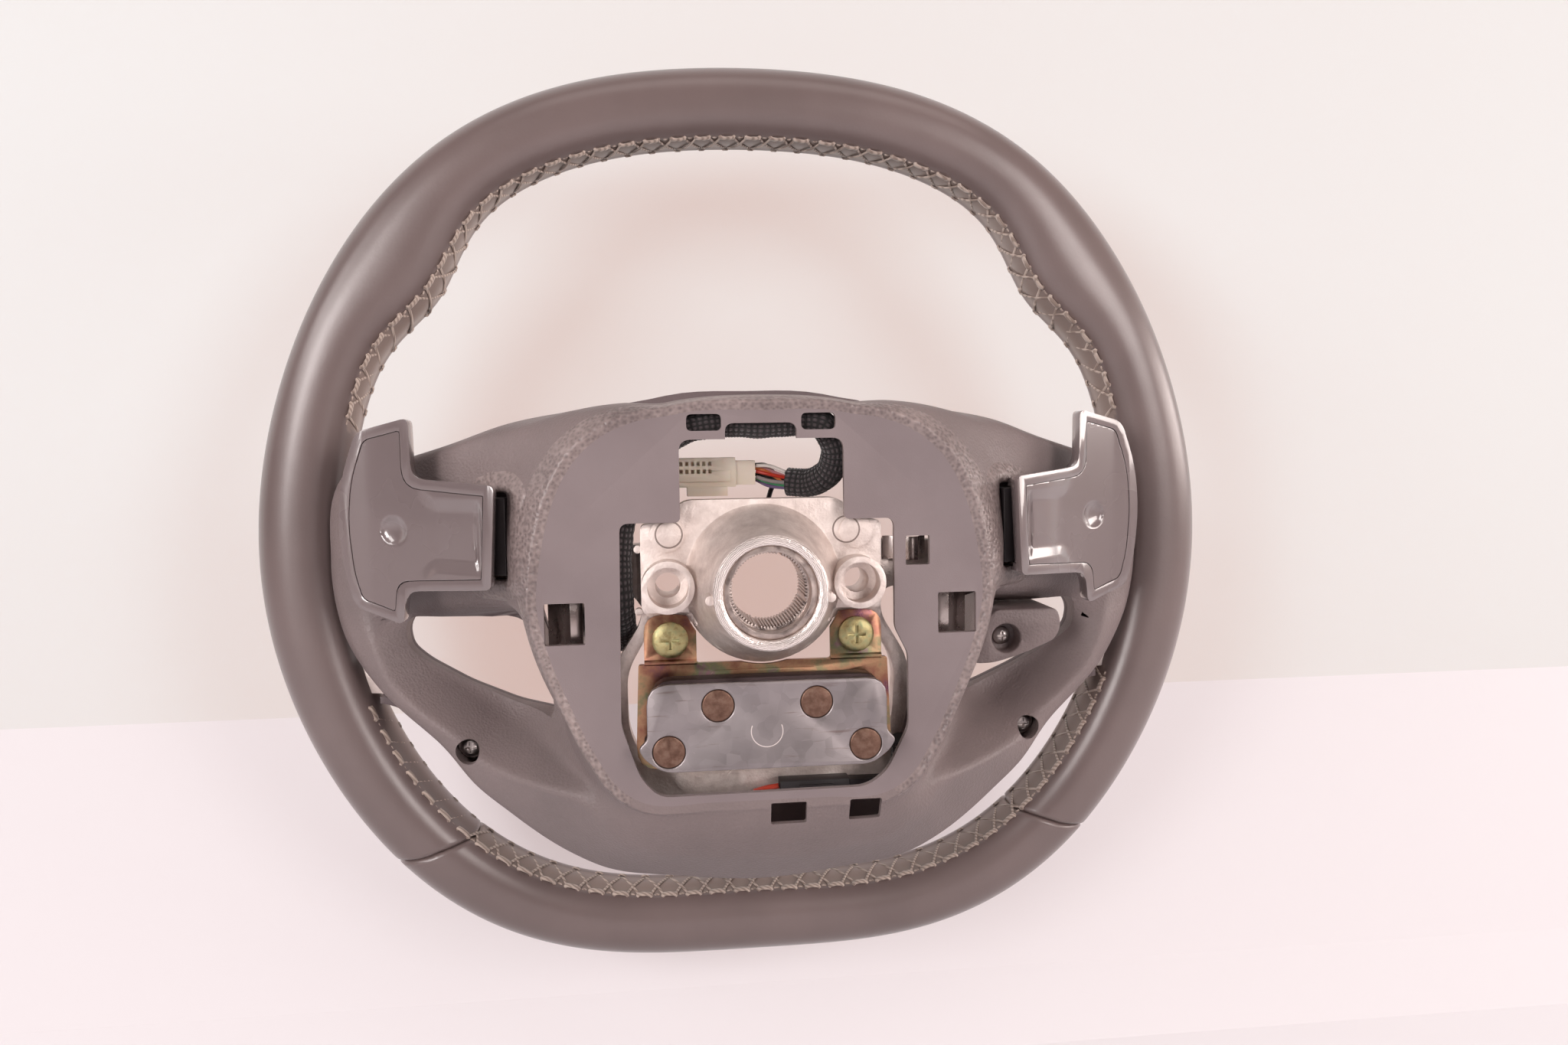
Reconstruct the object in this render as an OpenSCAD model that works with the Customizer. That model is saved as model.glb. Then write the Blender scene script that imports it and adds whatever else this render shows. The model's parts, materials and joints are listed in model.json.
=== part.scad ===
// Car steering wheel, seen from the column side as it hangs upright.
// X runs to the right as seen from behind, Y runs from the column towards the driver, Z runs up.
// The origin lies on the shaft axis, inside the smooth pilot of the splined hub sleeve.

/* [Rim] */
// Mean radius of the outer edge of the rim
rim_mean_r = 182; // [179:1:186]
// How much farther the rim reaches above the hub than below it
rim_egg = 14.7; // [12:0.5:17]
// Widening of the rim across the hands
rim_oval = 3.8; // [2:0.5:6]
// Fullness of the lower corners of the rim
rim_corner = 1.9; // [0.5:0.5:3]
// Squareness of the rim outline
rim_square = 3.5; // [2:0.5:5]
// Flattening of the rim between its corners
rim_flat = 1.4; // [0.4:0.2:2]
// Thickness of the rim seen from behind
rim_t = 29; // [27:0.5:31]
// Depth of the rim along the shaft
rim_d = 32; // [29:0.5:34]
// Distance from the origin to the middle of the rim
rim_y = 99; // [96:1:104]
// Extra thickness of the rim at the thumb rests
thumb_h = 9.5; // [6:0.5:12]
// Angle from the top to the middle of each thumb rest
thumb_at = 48; // [45:1:51]
// Extra thickness of the rim where the palms hold it
palm_h = 3; // [1:0.5:4]
// Angle from the top to the lower seams of the leather
seam_at = 131.5; // [129:0.5:134]
// Half thickness of the cast core inside the rim
core_half = 5; // [4:0.5:6]

/* [Hub] */
// Radius of the smooth pilot in the steel sleeve
pilot_r = 12.9; // [12.6:0.1:13.2]
// Length of the smooth pilot
pilot_l = 7; // [6:0.5:8]
// Wall of the steel sleeve
sleeve_wall = 2.1; // [1.9:0.1:2.4]
// Length of the steel sleeve
sleeve_l = 31; // [28:1:32]
// Step from the pilot down to the roots of the splines
spline_step = 0.4; // [0.3:0.1:0.6]
// Height of one spline tooth
spline_h = 0.8; // [0.5:0.1:1]
// Number of spline places round the bore
spline_n = 72; // [48:6:72]
// Wall of the cast boss round the sleeve at its rear face
boss_wall = 3.2; // [2.6:0.2:4]
// Distance between the two guide bosses
guide_pitch = 63.4; // [62:0.2:65]
// Radius of the through holes in the guide bosses
guide_r = 4.2; // [3.6:0.1:4.6]
// Thickness of the cast web
web_t = 7; // [6:0.5:8]

/* [Back cover] */
// Distance from the origin to the flat rear plate of the cover
plate_y = 22; // [20:0.5:24]
// Wall thickness of the moulded cover
wall = 2.5; // [2:0.1:3]
// Height of the grained bead round the plate
bead_h = 1.4; // [0.8:0.1:2]
// Half width of the upper window in the cover
window_half = 27.2; // [25:0.2:28]
// Distance from the origin to the joint between the cover and the front trim
part_y = 86; // [85:0.5:87]

/* [Paddles] */
// Depth of the paddle's side walls
paddle_t = 7.5; // [6:0.5:8]
// Width of the rim left round the paddle's inset face
bezel_w = 3.4; // [2.5:0.1:4.5]
// Joint line round the inset face
face_gap = 0.3; // [0.2:0.05:0.5]
// Radius of the paddle's pivot pin
pivot_r = 1.5; // [1.2:0.1:1.8]

/* [Switches] */
// Side of a square switch cap
cap_w = 13; // [11:0.5:14]
// Travel of a switch cap
cap_travel = 1; // [0.6:0.1:1.2]
// Clearance round a switch cap
cap_gap = 0.3; // [0.25:0.05:0.4]
// Radius of the round button on the pod
pod_button_r = 7.5; // [6:0.5:8]

/* [Damper] */
// Width of the damper plate
damper_w = 79; // [74:1:80]
// Height of the damper plate
damper_h = 29; // [27:0.5:30]
// Thickness of the damper plate
damper_t = 2.2; // [1.6:0.1:2.6]
// Radius of a damper rivet head
rivet_r = 5.3; // [4.5:0.1:5.6]

/* [Harness] */
// Radius of the taped harness
tape_r = 5; // [4:0.2:5.4]
// Radius of one wire
wire_r = 0.8; // [0.6:0.05:0.9]

/* [Hidden] */
$fn = 48;
eps = 0.01;
// Clearance between pieces that seat on each other
seat = 0.3;
sleeve_r = pilot_r + sleeve_wall;
spline_root_r = pilot_r - spline_step;
boss_r = sleeve_r + boss_wall;

// Outline of the rim, as a radius at angle a from the top
function outer_r(a) = rim_mean_r + rim_egg * cos(a) - rim_oval * cos(2 * a) + rim_corner * cos(3 * a)
    - rim_square * cos(4 * a) - rim_flat * cos(6 * a);
function from_top(a) = abs(a > 180 ? a - 360 : a);
function hump(a, middle, spread) = exp(-pow((from_top(a) - middle) / spread, 2));
function grip_w(a) = rim_t + thumb_h * hump(a, thumb_at, 9) + palm_h * hump(a, 85, 26);
function core_r(a) = outer_r(a) - rim_t / 2 - 1;
function polar(a, r, y) = [r * sin(a), y, r * cos(a)];
function power(v, e) = sign(v) * pow(abs(v), e);
function square_dir(t) = [cos(t), sin(t)] / max(abs(cos(t)), abs(sin(t)));

// Places that belong to the rim move out and forward with it; those near the hub stay.
hub_zone = 80;
rim_zone = 155;
function reach(r) = r + (rim_mean_r - 182) * max(0, min(1, (r - hub_zone) / (rim_zone - hub_zone)));
function deep(y) = plate_y + (y - 22) * (part_y - plate_y) / 64;
function held(p) = p * reach(norm(p)) / norm(p);
// The paddles, switches and pod move with the spokes that carry them.
hand_x = reach(112) - 112;
module at_hand() translate([hand_x, 0, 0]) children();

// Smooth curve through rows of [angle, value, value]
function row_at(rows, a, i = 0) = (i >= len(rows) - 2 || a < rows[i + 1][0]) ? i : row_at(rows, a, i + 1);
function slope_at(rows, i, c) = (i == 0 || i == len(rows) - 1) ? 0
    : (rows[i + 1][c] - rows[i - 1][c]) / (rows[i + 1][0] - rows[i - 1][0]);
function smooth(rows, a, c) =
    let (i = row_at(rows, a), h = rows[i + 1][0] - rows[i][0], t = (a - rows[i][0]) / h)
    (2 * pow(t, 3) - 3 * pow(t, 2) + 1) * rows[i][c] + (pow(t, 3) - 2 * pow(t, 2) + t) * h * slope_at(rows,
        i, c)
    + (3 * pow(t, 2) - 2 * pow(t, 3)) * rows[i + 1][c] + (pow(t, 3) - pow(t, 2)) * h * slope_at(rows, i
        + 1, c);

// Outline with each corner [x, z, setback] eased by a short curve
function eased(p, n = 4) = [for (i = [0:len(p) - 1])
    let (b = [p[i][0], p[i][1]], q = p[(i + len(p) - 1) % len(p)], s = p[(i + 1) % len(p)],
         u = [q[0], q[1]] - b, v = [s[0], s[1]] - b, e = min(p[i][2], 0.45 * norm(u), 0.45 * norm(v)),
         from = b + u / norm(u) * e, to = b + v / norm(v) * e)
    each e == 0 ? [b] : [for (k = [0:n]) let (t = k / n) pow(1 - t, 2) * from + 2 * t * (1 - t) * b + t
        * t * to]];

// Clockwise outline of corners moved outwards by t, or inwards where t is negative
function grown(p, t) = [for (i = [0:len(p) - 1])
    let (q = p[(i + len(p) - 1) % len(p)], s = p[(i + 1) % len(p)], u = [p[i][0] - q[0], p[i][1] - q[1]],
         v = [s[0] - p[i][0], s[1] - p[i][1]], m = [-u[1], u[0]] / norm(u), n = [-v[1], v[0]] / norm(v),
         b = [p[i][0], p[i][1]] + t * (m + n) / (1 + m * n)) [b[0], b[1], max(0.5, p[i][2] + t
             * sign(cross(v, u)) * 0.5)]];

// Prisms along each axis, rods and turned shapes along the shaft
module through_y(y0, y1) translate([0, y1, 0]) rotate([90, 0, 0]) linear_extrude(y1 - y0) children();
module through_x(x0, x1) translate([x0, 0, 0]) rotate([90, 0, 90]) linear_extrude(x1 - x0) children();
module through_z(z0, z1) translate([0, 0, z0]) linear_extrude(z1 - z0) children();
module rod_y(r, x, z, y0, y1) translate([x, y0, z]) rotate([-90, 0, 0]) cylinder(r = r, h = y1 - y0);
module turned_y(x = 0, z = 0) translate([x, 0, z]) rotate([-90, 0, 0]) rotate_extrude() children();
module box(x0, x1, y0, y1, z0, z1) translate([x0, y0, z0]) cube([x1 - x0, y1 - y0, z1 - z0]);
module soft_box(x0, x1, z0, z1, r, y0, y1) through_y(y0, y1) {
    translate([x0 + r, z0]) square([x1 - x0 - 2 * r, z1 - z0]);
    translate([x0, z0 + r]) square([x1 - x0, z1 - z0 - 2 * r]);
    for (x = [x0 + r, x1 - r], z = [z0 + r, z1 - r]) translate([x, z]) circle(r);
}
module both_sides() {
    children();
    mirror([1, 0, 0]) children();
}

// Solid through closed rings of points, with flat ends
module loft(rings) {
    n = len(rings[0]);
    m = len(rings);
    sides = [for (i = [0:m - 2], j = [0:n - 1])
        let (a = i * n + j, b = i * n + (j + 1) % n, c = b + n, d = a + n) each [[a, b, c], [a, c, d]]];
    polyhedron([for (r = rings) each r], concat(sides, [[for (j = [n - 1:-1:0]) j]], [[for (j = [0:n
        - 1]) (m - 1) * n + j]]));
}

// Round tube swept along points
function unit(v) = v / norm(v);
function aim(path, i) = unit(path[min(i + 1, len(path) - 1)] - path[max(i - 1, 0)]);
function ring_round(c, d, r, n) =
    let (s = unit(cross(d, abs(d[1]) > 0.9 ? [1, 0, 0] : [0, 1, 0])), u = cross(s, d))
    [for (k = [0:n - 1]) c + r * (s * cos(k * 360 / n) + u * sin(k * 360 / n))];
function bend(p, t, i) = 0.5 * (2 * p[i] + (p[i + 1] - p[i - 1]) * t
    + (2 * p[i - 1] - 5 * p[i] + 4 * p[i + 1] - p[i + 2]) * t * t + (3 * p[i] - p[i - 1] - 3 * p[i + 1]
        + p[i + 2]) * t * t * t);
function curve(p, n) = let (q = concat([2 * p[0] - p[1]], p, [2 * p[len(p) - 1] - p[len(p) - 2]]))
    concat([for (i = [1:len(q) - 3], k = [0:n - 1]) bend(q, k / n, i)], [p[len(p) - 1]]);
module cable(points, r, n = 8, steps = 2) {
    path = curve(points, steps);
    loft([for (i = [0:len(path) - 1]) ring_round(path[i], aim(path, i), r, n)]);
}

// Lines of the cover moulding as rows of [angle from the top, radius, depth]
plate_line = [[0, 57.4], [27, 63], [37, 67.8], [47, 72], [58, 74], [80, 73.4], [95, 74.5], [107, 74], [121,
    75],
    [134, 79], [144, 83], [152, 82.5], [165, 75.6], [180, 73]];
shoulder_line = [[0, 62.3, 26], [27, 67, 25.5], [37, 73.5, 25], [47, 79, 25.5], [58, 82, 26], [80, 82, 26],
    [95, 80, 26], [121, 79.5, 26], [134, 83, 26], [144, 86.5, 24.5], [152, 86, 23], [165, 79.5, 22.6],
        [180, 77, 22.5]];
foot_line = [[0, 63, 34], [27, 68, 33], [37, 75, 29.5], [47, 83, 31], [58, 90, 35], [76, 91, 38], [88, 90,
    39],
    [95, 86, 44], [100, 82.5, 76], [107, 82, 82], [121, 82.5, 80], [127, 87, 60], [134, 89, 44], [140,
        88.5, 33],
    [146, 89.5, 27], [153, 90, 25.5], [165, 84, 24.5], [180, 82, 24]];
valley_line = [[0, 63.4, 50], [27, 68.5, 48], [37, 76, 37], [47, 85.3, 37], [58, 97, 42], [66, 105, 48],
    [76, 116, 58],
    [88, 119, 61], [95, 120, 70], [100, 124, 82], [107, 121, 82], [114, 112, 82], [121, 105, 78], [127, 98,
        67],
    [134, 94, 50], [140, 91, 36], [146, 93.5, 29], [153, 94.5, 28], [165, 90, 27.5], [180, 88, 27]];
crest_line = [[0, 63.8, 68], [27, 69, 68], [37, 76.6, 60], [47, 86.4, 56], [58, 100, 47], [66, 115, 55],
    [72, 132, 67],
    [76, 149, 78], [88, 150, 79], [95, 144, 76], [100, 140.5, 72], [107, 137.5, 70], [118, 124.5, 66],
        [122, 122, 64.5],
    [127, 114.5, 55], [134, 103.5, 42], [140, 97, 34.5], [146, 100, 33], [153, 102, 33.5], [165, 99, 34],
        [180, 97, 33.5]];
brow_line = [[0, 63.9, 78], [27, 69.2, 78], [37, 76.9, 75], [47, 86.8, 72], [58, 102.4, 54], [66, 117.2, 62],
    [72, 135, 73], [76, 152.5, 82], [88, 153.5, 82.5], [95, 152, 81], [100, 149, 78.5], [107, 143.5, 76],
        [118, 131, 70],
    [127, 128, 66], [134, 124.5, 62], [146, 121, 56], [153, 119, 54], [165, 113, 52], [180, 111, 50]];
edge_line = [[0, 64], [27, 69.3], [37, 77], [47, 87], [58, 103], [66, 118], [72, 136], [76, 154], [88, 155.5],
    [95, 154.5], [100, 152.5], [107, 146.5], [111, 140.5], [118, 134], [127, 130.2], [142, 126.8], [151, 125],
    [160, 122.7], [170, 118.8], [180, 117.9]];
cover_steps = 96;

function bead_at(a) = bead_h * max(0, min(1, (150 - a) / 10));
function on_line(rows, a) = [reach(smooth(rows, a, 1)), deep(smooth(rows, a, 2))];
function plate_r(a) = smooth(plate_line, a, 1);
function edge_r(a) = reach(smooth(edge_line, a, 1));
function cover_profile(a) = [[plate_r(a), plate_y], [plate_r(a) + 3, plate_y - bead_at(a)],
    on_line(shoulder_line, a),
    on_line(foot_line, a), on_line(valley_line, a), on_line(crest_line, a), on_line(brow_line, a),
        [edge_r(a), part_y]];
function inset(p, t) = [for (k = [0:len(p) - 1])
    let (d = p[min(k + 1, len(p) - 1)] - p[max(k - 1, 0)]) p[k] + t * [-d[1], d[0]] / norm(d)];
module cover_form(t, tail) {
    rows = [for (s = [0:cover_steps - 1]) let (a = 360 * s / cover_steps, p = cover_profile(from_top(a)),
        q = t > 0 ? inset(p, t) : p) concat([[q[0][0], plate_y + t]], [for (k = [1:7]) q[k]], [[q[7][0],
            part_y + tail]])];
    loft([for (k = [0:tail > 0 ? 8 : 7]) [for (s = [0:cover_steps - 1]) polar(-360 * s / cover_steps,
        rows[s][k][0], rows[s][k][1])]]);
}

// Windows, slots and latch holes of the cover, as rear outlines
window_outline = [[-window_half, 48, 4], [window_half, 48, 4], [window_half, 21, 2], [44, 21, 3], [44, -16,
    2],
    [48.5, -25, 2], [48.5, -50, 3], [41, -65, 5], [34, -70, 4], [-36, -70.5, 4], [-42, -64, 5], [-48, -46, 3],
    [-47, 21, 3], [-window_half, 21, 2]];
opening_outline = [[125, -14.8, 3], [128, -20, 3], [127, -27, 3], [121, -32.5, 4], [106, -41.5, 4], [88,
    -49.5, 4],
    [73, -53.5, 3], [78.5, -36, 3], [83.5, -20, 3], [89, -16, 3], [103, -15.3, 3]];
function stretched(p) = [for (q = p) let (k = reach(norm([q[0], q[1]])) / norm([q[0], q[1]])) [q[0] * k,
    q[1] * k, q[2]]];
latch_x0 = 58.9;
latch_x1 = 72;
latch_z0 = -18.4;
latch_z1 = -4.6;
foot_hole_x = [[1.2, 13.4], [28.1, 39.1]];
foot_hole_z = [-82.3, -74.3];
guide_x = guide_pitch / 2;
screw_x = 31.3;
screw_z = -18.3;
arm_hole = held([105.2, -64]);
arm_hole_r = 4.4;
pod_screw = [93.5, -27.4];

module armature() { color("gainsboro") armature_solid(); }
web_y = plate_y + 5;
arm_y0 = deep(41);
// Side spokes and lower arms: bent in plan, then cut to their rear outline
spoke_y = web_y + 8.4;
spoke_front = [[168, rim_y + 4], [147, rim_y + 1], [125, deep(81.4)]];
spoke_plan = concat([[28, web_y + web_t - 1], [40, web_y + web_t - 1], [42, spoke_y], [66, spoke_y + 1.5],
    [78, deep(40)],
    [92, deep(49)], [120, deep(70)], [150, rim_y - 7], [168, rim_y - 3]], spoke_front, [[116, deep(75)],
        [88, deep(57)],
    [72, deep(48)], [60, spoke_y + 8.5], [28, spoke_y + 7]]);
spoke_rear = [[28, 14, 0], [52, 12, 8], [90, 12, 10], [150, 16, 6], [168, 20, 0], [168, -12, 0], [150, -8, 6],
    [120, -3.6, 10], [44, -3.6, 3], [40, -9, 2], [28, -9, 0]];
arm_front = [[166, rim_y + 3], [128, rim_y - 2], [110, part_y - 0.3]];
arm_plan = concat([[36, arm_y0], [56, arm_y0 + 3], [80, deep(62)], [104, deep(76)], [112, deep(81)], [118,
    part_y + 0.3],
    [130, rim_y - 9.5], [166, rim_y - 4]], arm_front, [[104, deep(83)], [76, deep(70)], [54, arm_y0 + 10],
        [36, arm_y0 + 7]]);
arm_rear = [[38, -63, 0], [50, -63, 4], [78, -68.5, 10], [104, -58.5, 10], [124, -40, 8], [136, -35, 4],
    [160, -34, 0],
    [160, -47, 0], [138, -46, 6], [120, -54, 8], [103, -65.6, 8], [80, -76, 10], [50, -74, 4], [38, -74, 0]];
function widened(plan) = [for (q = plan) [reach(q[0]), q[1]]];
module side_spoke() intersection() {
    through_z(-40, 40) polygon(widened(spoke_plan));
    through_y(0, 140) polygon(eased(stretched(spoke_rear)));
}
module lower_arm() intersection() {
    through_z(-100, 0) polygon(widened(arm_plan));
    through_y(0, 140) polygon(eased(stretched(arm_rear)));
}
module core_ring() through_y(rim_y - core_half, rim_y + core_half) difference() {
    polygon([for (a = [0:3.75:359]) [(core_r(a) + core_half) * sin(a), (core_r(a) + core_half) * cos(a)]]);
    polygon([for (a = [0:3.75:359]) [(core_r(a) - core_half) * sin(a), (core_r(a) - core_half) * cos(a)]]);
}
module armature_solid() difference() {
    union() {
        core_ring();
        both_sides() side_spoke();
        both_sides() lower_arm();
        // Web with its pads, gate nubs and lower legs
        through_y(web_y, web_y + web_t) polygon(eased([[-26, 28, 3], [26, 28, 3], [33, 21, 4], [40.5, 20, 2],
            [40.5, -9, 3], [36, -12, 3], [24, -12, 4], [14, -24, 6], [-14, -24, 6], [-24, -12, 4], [-36,
                -12, 3],
            [-40.5, -9, 3], [-40.5, 20, 2], [-33, 21, 4]]));
        both_sides() rod_y(5.6, guide_x, 16.5, web_y - 1, web_y + 1);
        both_sides() rod_y(6.6, screw_x, screw_z, plate_y + 6.2, web_y + 14);
        for (z = [12, -9]) rod_y(1.3, -41.4, z, web_y + 0.2, web_y + 3);
        // Boss for the sleeve, flaring into the web
        turned_y() polygon([[sleeve_r - 0.4, -2.2], [sleeve_r + 0.9, -3], [boss_r - 0.6, -3], [boss_r,
            -2.3], [boss_r + 0.6, 8],
            [boss_r + 2.6, 16], [boss_r + 7.5, web_y - 1], [boss_r + 9, web_y + 1], [boss_r + 9, web_y
                + web_t - 1],
            [boss_r + 2, web_y + web_t], [boss_r, web_y + web_t + 4], [sleeve_r - 0.4, web_y + web_t + 4]]);
        for (x = [-1, 1]) rod_y(1.5, x * (boss_r + 0.8), -2, -1, 8);
        both_sides() rod_y(8.7, guide_x, 0, plate_y - 4, web_y + web_t + 2.5);
        // Legs down both sides of the damper and the foot bar between them
        both_sides() intersection() {
            through_x(30, 54) polygon([[web_y + 0.5, 0], [web_y + web_t - 0.5, 0], [web_y + web_t + 2,
                -20], [arm_y0 + 6.5, -60],
                [arm_y0 + 6.5, -73], [arm_y0 + 0.5, -73], [arm_y0 + 0.5, -62], [web_y + 4, -24]]);
            through_y(0, 100) polygon(eased([[35, -2, 0], [39.6, -2, 0], [41, -13, 3], [51.5, -30, 8],
                [51.5, -50, 8], [45, -72, 0],
                [37, -72, 0], [46, -52, 6], [46, -30, 6], [35, -10.5, 2]]));
        }
        soft_box(-44, 44, -77, -64, 3, arm_y0, arm_y0 + 7);
        for (x = [-27, -9]) rod_y(3.5, x, -70.5, arm_y0 - 0.6, arm_y0 + 1);
        // Screw posts for the front trim at the ends of the lower arms
        both_sides() rod_y(4.6, arm_hole[0], arm_hole[1], deep(76), part_y);
    }
    rod_y(sleeve_r + 0.03, 0, 0, -10, 60);
    both_sides() rod_y(guide_r, guide_x, 0, 0, 60);
    both_sides() rod_y(6.7, guide_x, 0, 0, plate_y + 4);
    both_sides() rod_y(2.6, screw_x, screw_z, 0, 60);
    both_sides() rod_y(2.2, arm_hole[0], arm_hole[1], 0, 120);
    both_sides() rod_y(4.2, arm_hole[0], arm_hole[1], 0, deep(76));
    both_sides() box(22, 42, web_y - 1, bracket_y + bracket_t + 0.3, -14, -9.5);
}

// Splined sleeve: a turned steel bush with a smooth pilot, a blind-splined stretch and a relief
sleeve_y0 = -1;
pilot_y1 = sleeve_y0 + pilot_l;
spline_y1 = sleeve_y0 + sleeve_l - 4;
blind_places = [14, 32, 50, 68];
function tooth(k) = let (s = 360 / spline_n, root = spline_root_r, tip = spline_root_r - spline_h, a = k * s)
    [for (q = [[0.05, root], [0.28, tip], [0.72, tip], [0.95, root]]) q[1] * [cos(a + q[0] * s), sin(a
        + q[0] * s)]];
function gap_place(k) = let (s = 360 / spline_n, a = k * s) [for (q = [0.05, 0.95]) spline_root_r
    * [cos(a + q * s), sin(a + q * s)]];
module splined_hole() polygon([for (k = [0:spline_n - 1]) each len(search(k,
    blind_places)) > 0 ? gap_place(k) : tooth(k)]);
module hub_insert() {
    color("slategray") difference() {
        turned_y() polygon([[pilot_r - 2, sleeve_y0], [sleeve_r - 0.5, sleeve_y0], [sleeve_r, sleeve_y0
            + 0.5], [sleeve_r, sleeve_y0 + sleeve_l - 0.5],
            [sleeve_r - 0.5, sleeve_y0 + sleeve_l], [pilot_r - 2, sleeve_y0 + sleeve_l]]);
        rod_y(pilot_r, 0, 0, sleeve_y0 - 1, pilot_y1);
        through_y(pilot_y1 - eps, spline_y1 + eps) splined_hole();
        rod_y(spline_root_r + 0.2, 0, 0, spline_y1, sleeve_y0 + sleeve_l + 1);
    }
}

// Leather grips: padded tubes over the cast core, meeting at slanted lower seams
grip_n = 16;
seam_slant = 2.5;
core_gap = 0.4;
function seam(t) = seam_at - seam_slant * cos(t);
function grip_point(a, t) = polar(a, outer_r(a) - grip_w(a) / 2 * (1 - power(cos(t), 0.87)), rim_y
    + rim_d / 2 * power(sin(t), 0.87));
function pocket_point(a, t) = let (q = square_dir(t) * (core_half + core_gap)) polar(a, core_r(a) + q[0],
    rim_y + q[1]);
module grip(first, last, steps) {
    n = grip_n;
    h = n / 2;
    m = steps + 1;
    skin = [for (i = [0:steps], j = [0:n - 1]) let (t = -j * 360 / n, f = i / steps) grip_point(first(t)
        * (1 - f) + last(t) * f, t)];
    pocket = [for (i = [0:steps], j = [0:h - 1]) let (t = -j * 360 / h, f = i / steps)
        pocket_point(first(t) * (1 - f) + last(t) * f, t)];
    outer = [for (i = [0:m - 2], j = [0:n - 1]) let (a = i * n + j, b = i * n + (j + 1) % n) each [[a, b,
        b + n], [a, b + n, a + n]]];
    inner = [for (i = [0:m - 2], j = [0:h - 1]) let (a = m * n + i * h + j, b = m * n + i * h + (j
        + 1) % h) each [[a, b + h, b], [a, a + h, b + h]]];
    ends = [for (i = [0, m - 1], j = [0:h - 1])
        let (o = i * n, a = o + 2 * j, b = a + 1, c = o + (2 * j + 2) % n, p = m * n + i * h + j, q = m
            * n + i * h + (j + 1) % h,
             f = [[a, p, b], [b, p, q], [b, q, c]])
        each [for (k = f) i == 0 ? k : [k[0], k[2], k[1]]]];
    polyhedron(concat(skin, pocket), concat(outer, inner, ends));
}
seam_gap = 0.05;
module spoke_cuts() both_sides() {
    box(reach(140), reach(166), rim_y - 9, rim_y + 5.5, -13, 21);
    box(reach(130), reach(160), rim_y - 11, rim_y + 4, -49, -33);
}
module grip_upper() {
    color("dimgray") difference() {
        grip(function(t) -seam(t), function(t) seam(t), 60);
        spoke_cuts();
    }
}
module grip_lower() {
    color("dimgray") grip(function(t) seam(t) + seam_gap, function(t) 360 - seam(t) - seam_gap, 24);
}

module back_cover() {
    color("gray") difference() {
        cover_form(0, 0);
        difference() {
            cover_form(wall, 4);
            both_sides() through_y(0, part_y + 2) polygon(eased(grown(stretched(opening_outline), wall)));
        }
        through_y(0, deep(40)) polygon(eased(window_outline));
        soft_box(-12, 11.6, 44, 53.2, 3, 0, deep(40));
        for (x = [-24.6, 13.2]) soft_box(x, x + 11.4, 50.8, 56.3, 1.8, 0, deep(40));
        both_sides() through_y(0, part_y + 2) polygon(eased(stretched(opening_outline)));
        both_sides() box(latch_x0, latch_x1, 0, deep(34), latch_z0, latch_z1);
        box(47.9, 56.1, 0, deep(34), 5, 14.8);
        for (x = foot_hole_x) box(x[0], x[1], 0, deep(32), foot_hole_z[0], foot_hole_z[1]);
        both_sides() rod_y(arm_hole_r, arm_hole[0], arm_hole[1], 0, part_y + 2);
        both_sides() at_hand() box(82.8, 101.2, 0, deep(70), -0.6, 34.6);
    }
}

// Front trim: the driver-side frame round the open airbag bay
trim_t = 3.5;
trim_step = 4.5;
bay_outline = [for (a = [0:5:355]) let (r = plate_r(from_top(a)) + 6) [r * sin(a), r * cos(a)]];
trim_outline = [for (a = [0:3.75:359]) let (r = edge_r(from_top(a)) - trim_step * max(0, min(1,
    (edge_r(from_top(a)) - 110) / 40)))
    [r * sin(a), r * cos(a)]];
switch_x0 = 86;
switch_x1 = 124;
switch_z0 = -8;
switch_z1 = 36;
module front_trim() {
    color("dimgray") difference() {
        union() {
            through_y(part_y + eps, part_y + trim_t) polygon(trim_outline);
            through_y(part_y + trim_t - eps, part_y + trim_t + 1.5) difference() {
                polygon([for (p = bay_outline) p * 1.05]);
                polygon(bay_outline);
            }
            both_sides() end_cap(spoke_cap, spoke_rear);
            both_sides() end_cap(arm_cap, arm_rear);
        }
        through_y(part_y - 1, part_y + 20) polygon(bay_outline);
        both_sides() through_y(part_y - 1, part_y + 20) polygon(eased(stretched(opening_outline)));
        both_sides() at_hand() soft_box(switch_x0 - seat, switch_x1 + seat, switch_z0 - seat, switch_z1
            + seat, 4, part_y - 1,
            part_y + 20);
        both_sides() rod_y(2.2, arm_hole[0], arm_hole[1], part_y - 1, part_y + trim_t + 1);
        both_sides() notch(spoke_front, spoke_rear);
        both_sides() notch(arm_front, arm_rear);
    }
}

// Raised covers over the ends of the spokes and arms, as plans, and the room under them
cap_wall = 3;
notch_gap = 0.4;
spoke_cap = [[128, part_y + 1], [128, part_y + trim_t + 0.4], [132.5, part_y + trim_t + 1.4], [147, rim_y
    + 3.4], [150, rim_y + 3.9],
    [150, part_y + 1]];
arm_cap = [[107, part_y + 1], [107, part_y + trim_t + 0.4], [113, part_y + trim_t + 1.6], [128, rim_y + 1],
    [140, rim_y + 2.4],
    [140, part_y + 1]];
module end_cap(plan, rear) intersection() {
    through_z(-100, 60) polygon(widened(plan));
    through_y(part_y, 140) polygon(eased(grown(stretched(rear), cap_wall)));
}
module notch(front, rear) intersection() {
    through_z(-100, 60) polygon(widened(concat([for (q = front) [q[0], q[1] + notch_gap]], [[front[2][0],
        part_y - 8],
        [front[0][0], part_y - 8]])));
    through_y(part_y - 1, 140) polygon(eased(grown(stretched(rear), notch_gap)));
}
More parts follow.
